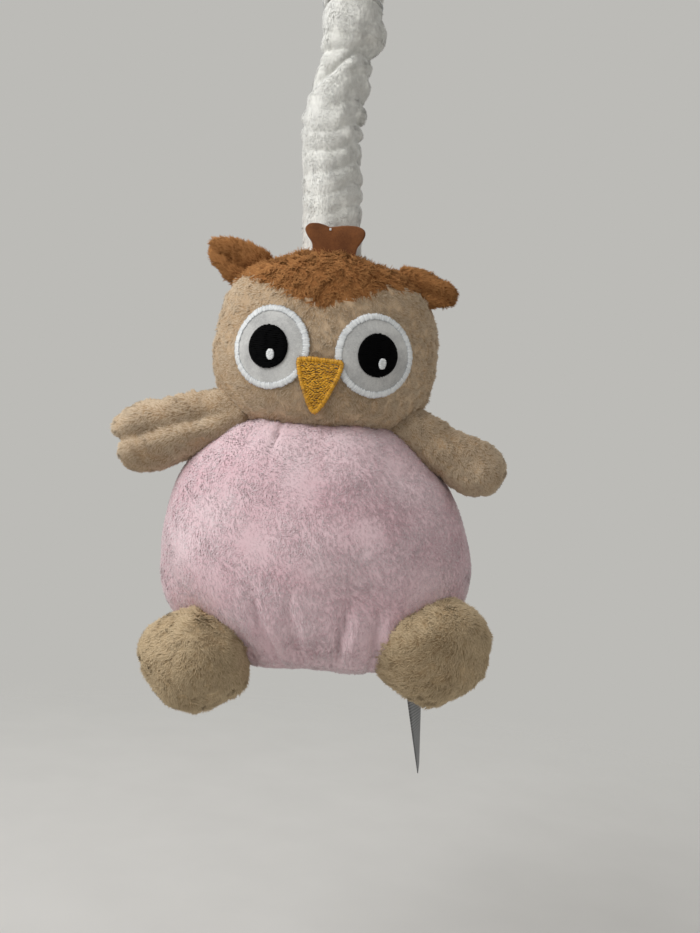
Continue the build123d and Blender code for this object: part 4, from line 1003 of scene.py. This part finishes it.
def band(name, node, inner, outer, first, last, body, finish, slot_name):
    """A strip of webbing or tape bent round the rail's axis, slightly uneven, with softened edges."""
    bm = bmesh.new()
    bmesh.ops.create_grid(bm, x_segments=12, y_segments=int(last - first), size=0.5)
    made = object_from(name, bm)
    form = points_of(made.data)
    bend = np.radians(first + (last - first) * (form[:, 1] + 0.5))
    middle = (inner + outer) / 2
    across = form[:, 0] * 2 * (STRAP_HALF - 0.1 * MM)
    out = middle + 0.12 * MM * np.sin(bend * 5 + across / (6 * MM))
    weave = made.data.attributes.new("weave", "FLOAT_VECTOR", "POINT")
    laid = np.stack([across, across * 0, bend * middle], 1)
    weave.data.foreach_set("vector", laid.astype(np.float32).ravel())
    move_points(made, np.stack([across, np.cos(bend) * out, np.sin(bend) * out], 1))
    wall = made.modifiers.new("wall", "SOLIDIFY")
    wall.thickness = outer - inner - 0.2 * MM
    wall.offset = 0
    edge = made.modifiers.new("edge", "BEVEL")
    edge.width = 0.35 * MM
    edge.segments = 2
    dress(made, finish, slot_name, body)
    if node:
        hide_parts(node)


WEBBING = woven("woven_polyester_webbing", "#cfccc0", "#f2efe6", 1.0 * MM, 0.85, strip=True)
LOOP_TAPE = touch_tape("loop_touch_tape", "#bdbab0", "#ece9e0", 0.9 * MM, 0.9)
HOOK_TAPE = touch_tape("hook_touch_tape", "#a9a69c", "#e4e1d8", 1.1 * MM, 0.55)
band("strap_web", "rail_strap", LOOP_IN, LOOP_OUT, LOOP_FROM, LOOP_TO, "hanger", WEBBING, "strap_webbing")
band("strap_hem", None, LOOP_OUT, HEM_OUT, HEM_FROM, LOOP_TO, "hanger", WEBBING, "strap_webbing")
band("flap_web", "strap_flap", FLAP_IN, FLAP_OUT, FLAP_FROM, FLAP_TO, "strap_flap", WEBBING, "strap_webbing")
band("loop_pad", "loop_patch", LOOP_OUT, LOOP_OUT + TAPE_THICK, TAPE_FROM, TAPE_TO, "hanger", LOOP_TAPE,
     "loop_tape")
band("hook_pad", "hook_patch", FLAP_IN - TAPE_THICK, FLAP_IN, TAPE_FROM, TAPE_TO, "strap_flap", HOOK_TAPE,
     "hook_tape")

# ---------------------------------------------------------------- movement
# The wind-back musical movement inside the body: moulded case, steel frame plates, brass train, pinned drum
# and steel comb. These are the engineered parts as they are, each in its own material.


# Injection-moulded plastic: a fine spark-eroded grain, a soft highlight, and faint flow marks.
def moulded(name, deep, pale, rough):
    made, tree, shader = material(name, Roughness=rough, IOR=1.49)
    place = add(tree, "TexCoord").outputs["Object"]
    flow = add(tree, "TexNoise", {"Vector": place, "Scale": 1 / (12 * MM), "Detail": 3.0})
    grain = add(tree, "TexNoise", {"Vector": place, "Scale": 1 / (0.4 * MM), "Detail": 2.0})
    dyed_and_raised(tree, shader, flow.outputs["Fac"], deep, pale, grain.outputs["Fac"], 0.15, 0.05 * MM)
    return made


# Metal as it leaves the tool: fine lines from turning, grinding or the rolling mill, which spread the
# highlight one way, and a little handling stain.
def machined(name, deep, pale, rough, line):
    made, tree, shader = material(name, Metallic=1.0, Roughness=rough)
    place = add(tree, "TexCoord").outputs["Object"]
    stretched = add(tree, "Mapping", {"Vector": place, "Scale": (1.0, 0.06, 1.0)})
    lines = add(tree, "TexNoise", {"Vector": stretched.outputs[0], "Scale": 1 / line, "Detail": 3.0})
    stain = add(tree, "TexNoise", {"Vector": place, "Scale": 1 / (7 * MM), "Detail": 3.0})
    dyed_and_raised(tree, shader, stain.outputs["Fac"], deep, pale, lines.outputs["Fac"], 0.2, 0.03 * MM)
    gloss = add(tree, "MapRange", {"Value": lines.outputs["Fac"], 3: rough - 0.08, 4: rough + 0.12})
    tree.links.new(gloss.outputs[0], shader.inputs["Roughness"])
    return made


finishes = {
    "cord_braid": woven("braided_polyester_cord", "#b9b6aa", "#ece9dd", 0.7 * MM, 0.7),
    "case_plastic": moulded("moulded_polypropylene", "#dcdad2", "#eceae3", 0.42),
    "reel_plastic": moulded("moulded_acetal", "#e4e3dc", "#f0efe9", 0.32),
    "toggle_plastic": moulded("moulded_nylon", "#cfccc2", "#e0ddd3", 0.38),
    "brass": machined("turned_brass", "#b08a45", "#d9b66b", 0.28, 0.3 * MM),
    "steel": machined("ground_steel", "#8d8e90", "#b4b5b7", 0.25, 0.25 * MM),
    "spring_steel": machined("blued_spring_steel", "#3d4250", "#666c7c", 0.30, 0.3 * MM),
    "plate_steel": machined("zinc_plated_steel", "#9d9fa0", "#c3c5c5", 0.35, 0.5 * MM),
}
slot_of = {part["node"]: part["material_slot"] for part in frame["record"]["subparts"]}
for name, node in frame["nodes"].items():
    if not node.hide_render:
        node.data.materials.clear()
        node.data.materials.append(finishes[slot_of[name]])

# ---------------------------------------------------------------- pull cord
# A laid polyester cord runs from its toggle in the collar, down inside the sleeve, and half round the reel of
# the movement, with four spare turns wound beside it.
CORD_RADIUS = 1.0 * MM
CORD_LAY = 7 * MM
cord_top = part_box("pull_cord")[1].z - 0.5 * MM
reel_low, reel_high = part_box("reel")
outer_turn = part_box("cord_winding")[1].y - CORD_RADIUS
reel_x, reel_z = (reel_low.x + reel_high.x) / 2, (reel_low.z + reel_high.z) / 2


def smooth_route(corners, closed, stations):
    """Points evenly along the smooth line that the cord takes past its route's corners."""
    curve = bpy.data.curves.new("route", "CURVE")
    curve.dimensions = "3D"
    spline = curve.splines.new("NURBS")
    spline.points.add(len(corners) - 1)
    for place, corner in zip(spline.points, corners):
        place.co = (*corner, 1.0)
    spline.order_u = 3
    spline.use_endpoint_u = not closed
    spline.use_cyclic_u = closed
    spline.resolution_u = 24
    holder = bpy.data.objects.new("route", curve)
    traced = bpy.data.meshes.new_from_object(holder)
    line = points_of(traced)
    bpy.data.objects.remove(holder)
    bpy.data.curves.remove(curve)
    bpy.data.meshes.remove(traced)
    if closed:
        line = np.vstack([line, line[:1]])
    far = np.linalg.norm(np.diff(line, axis=0, prepend=line[:1]), axis=1).cumsum()
    even = np.linspace(0, far[-1], stations)
    return np.stack([np.interp(even, far, line[:, k]) for k in range(3)], 1)


def rope(name, run, node):
    """Six plies laid round a line, in the polyester of the cord."""
    along = np.linalg.norm(np.diff(run, axis=0, prepend=run[:1]), axis=1).cumsum()
    side = np.cross(unit(np.gradient(run, axis=0)), (0.0, 1.0, 0.0))
    plies = []
    for ply in range(6):
        turn = along / along[-1] * round(along[-1] / CORD_LAY) * 2 * pi + ply * pi / 3
        off = side * np.cos(turn)[:, None] + np.array((0, 1.0, 0)) * np.sin(turn)[:, None]
        plies.append(run + off * CORD_RADIUS * 0.66)
    made = lay_strands(name, strand_shape(6, len(run) - 1, 1.0), np.array(plies),
                       np.full(6, CORD_RADIUS * 0.68), np.tile((0, -1.0, 0.01), (6, 1)))
    made.data.materials.append(finishes["cord_braid"])
    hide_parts(node)
    return made, float(along[-1])


reach = reel_x / cos(radians(15))          # to the corners of the route round the reel


def round_reel(y, last):
    """Corners of a route round the reel at that y, every 30 degrees from where the cord meets it."""
    turns = [radians(a) for a in range(15, last, 30)]
    return [(reel_x - reach * cos(a), y, reel_z - reach * sin(a)) for a in turns]


drop_corners = [(0, 0, cord_top), (0, 0, -60 * MM), (0, 0, -150 * MM), (0, 0, -220 * MM)]
run = smooth_route(drop_corners + round_reel(0, 180) + [(2 * reel_x, 0, reel_z)], False, 170)
pull, pull_length = rope("pull_cord_laid", run, "pull_cord")
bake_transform(pull)

for number, share in enumerate((-1, -0.5, 0.5, 1), 1):
    ring = smooth_route(round_reel(share * outer_turn, 375), True, 61)
    turn, _ = rope(f"spare_turn_{number}", ring, "cord_winding")
    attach(turn, "cord_reel")
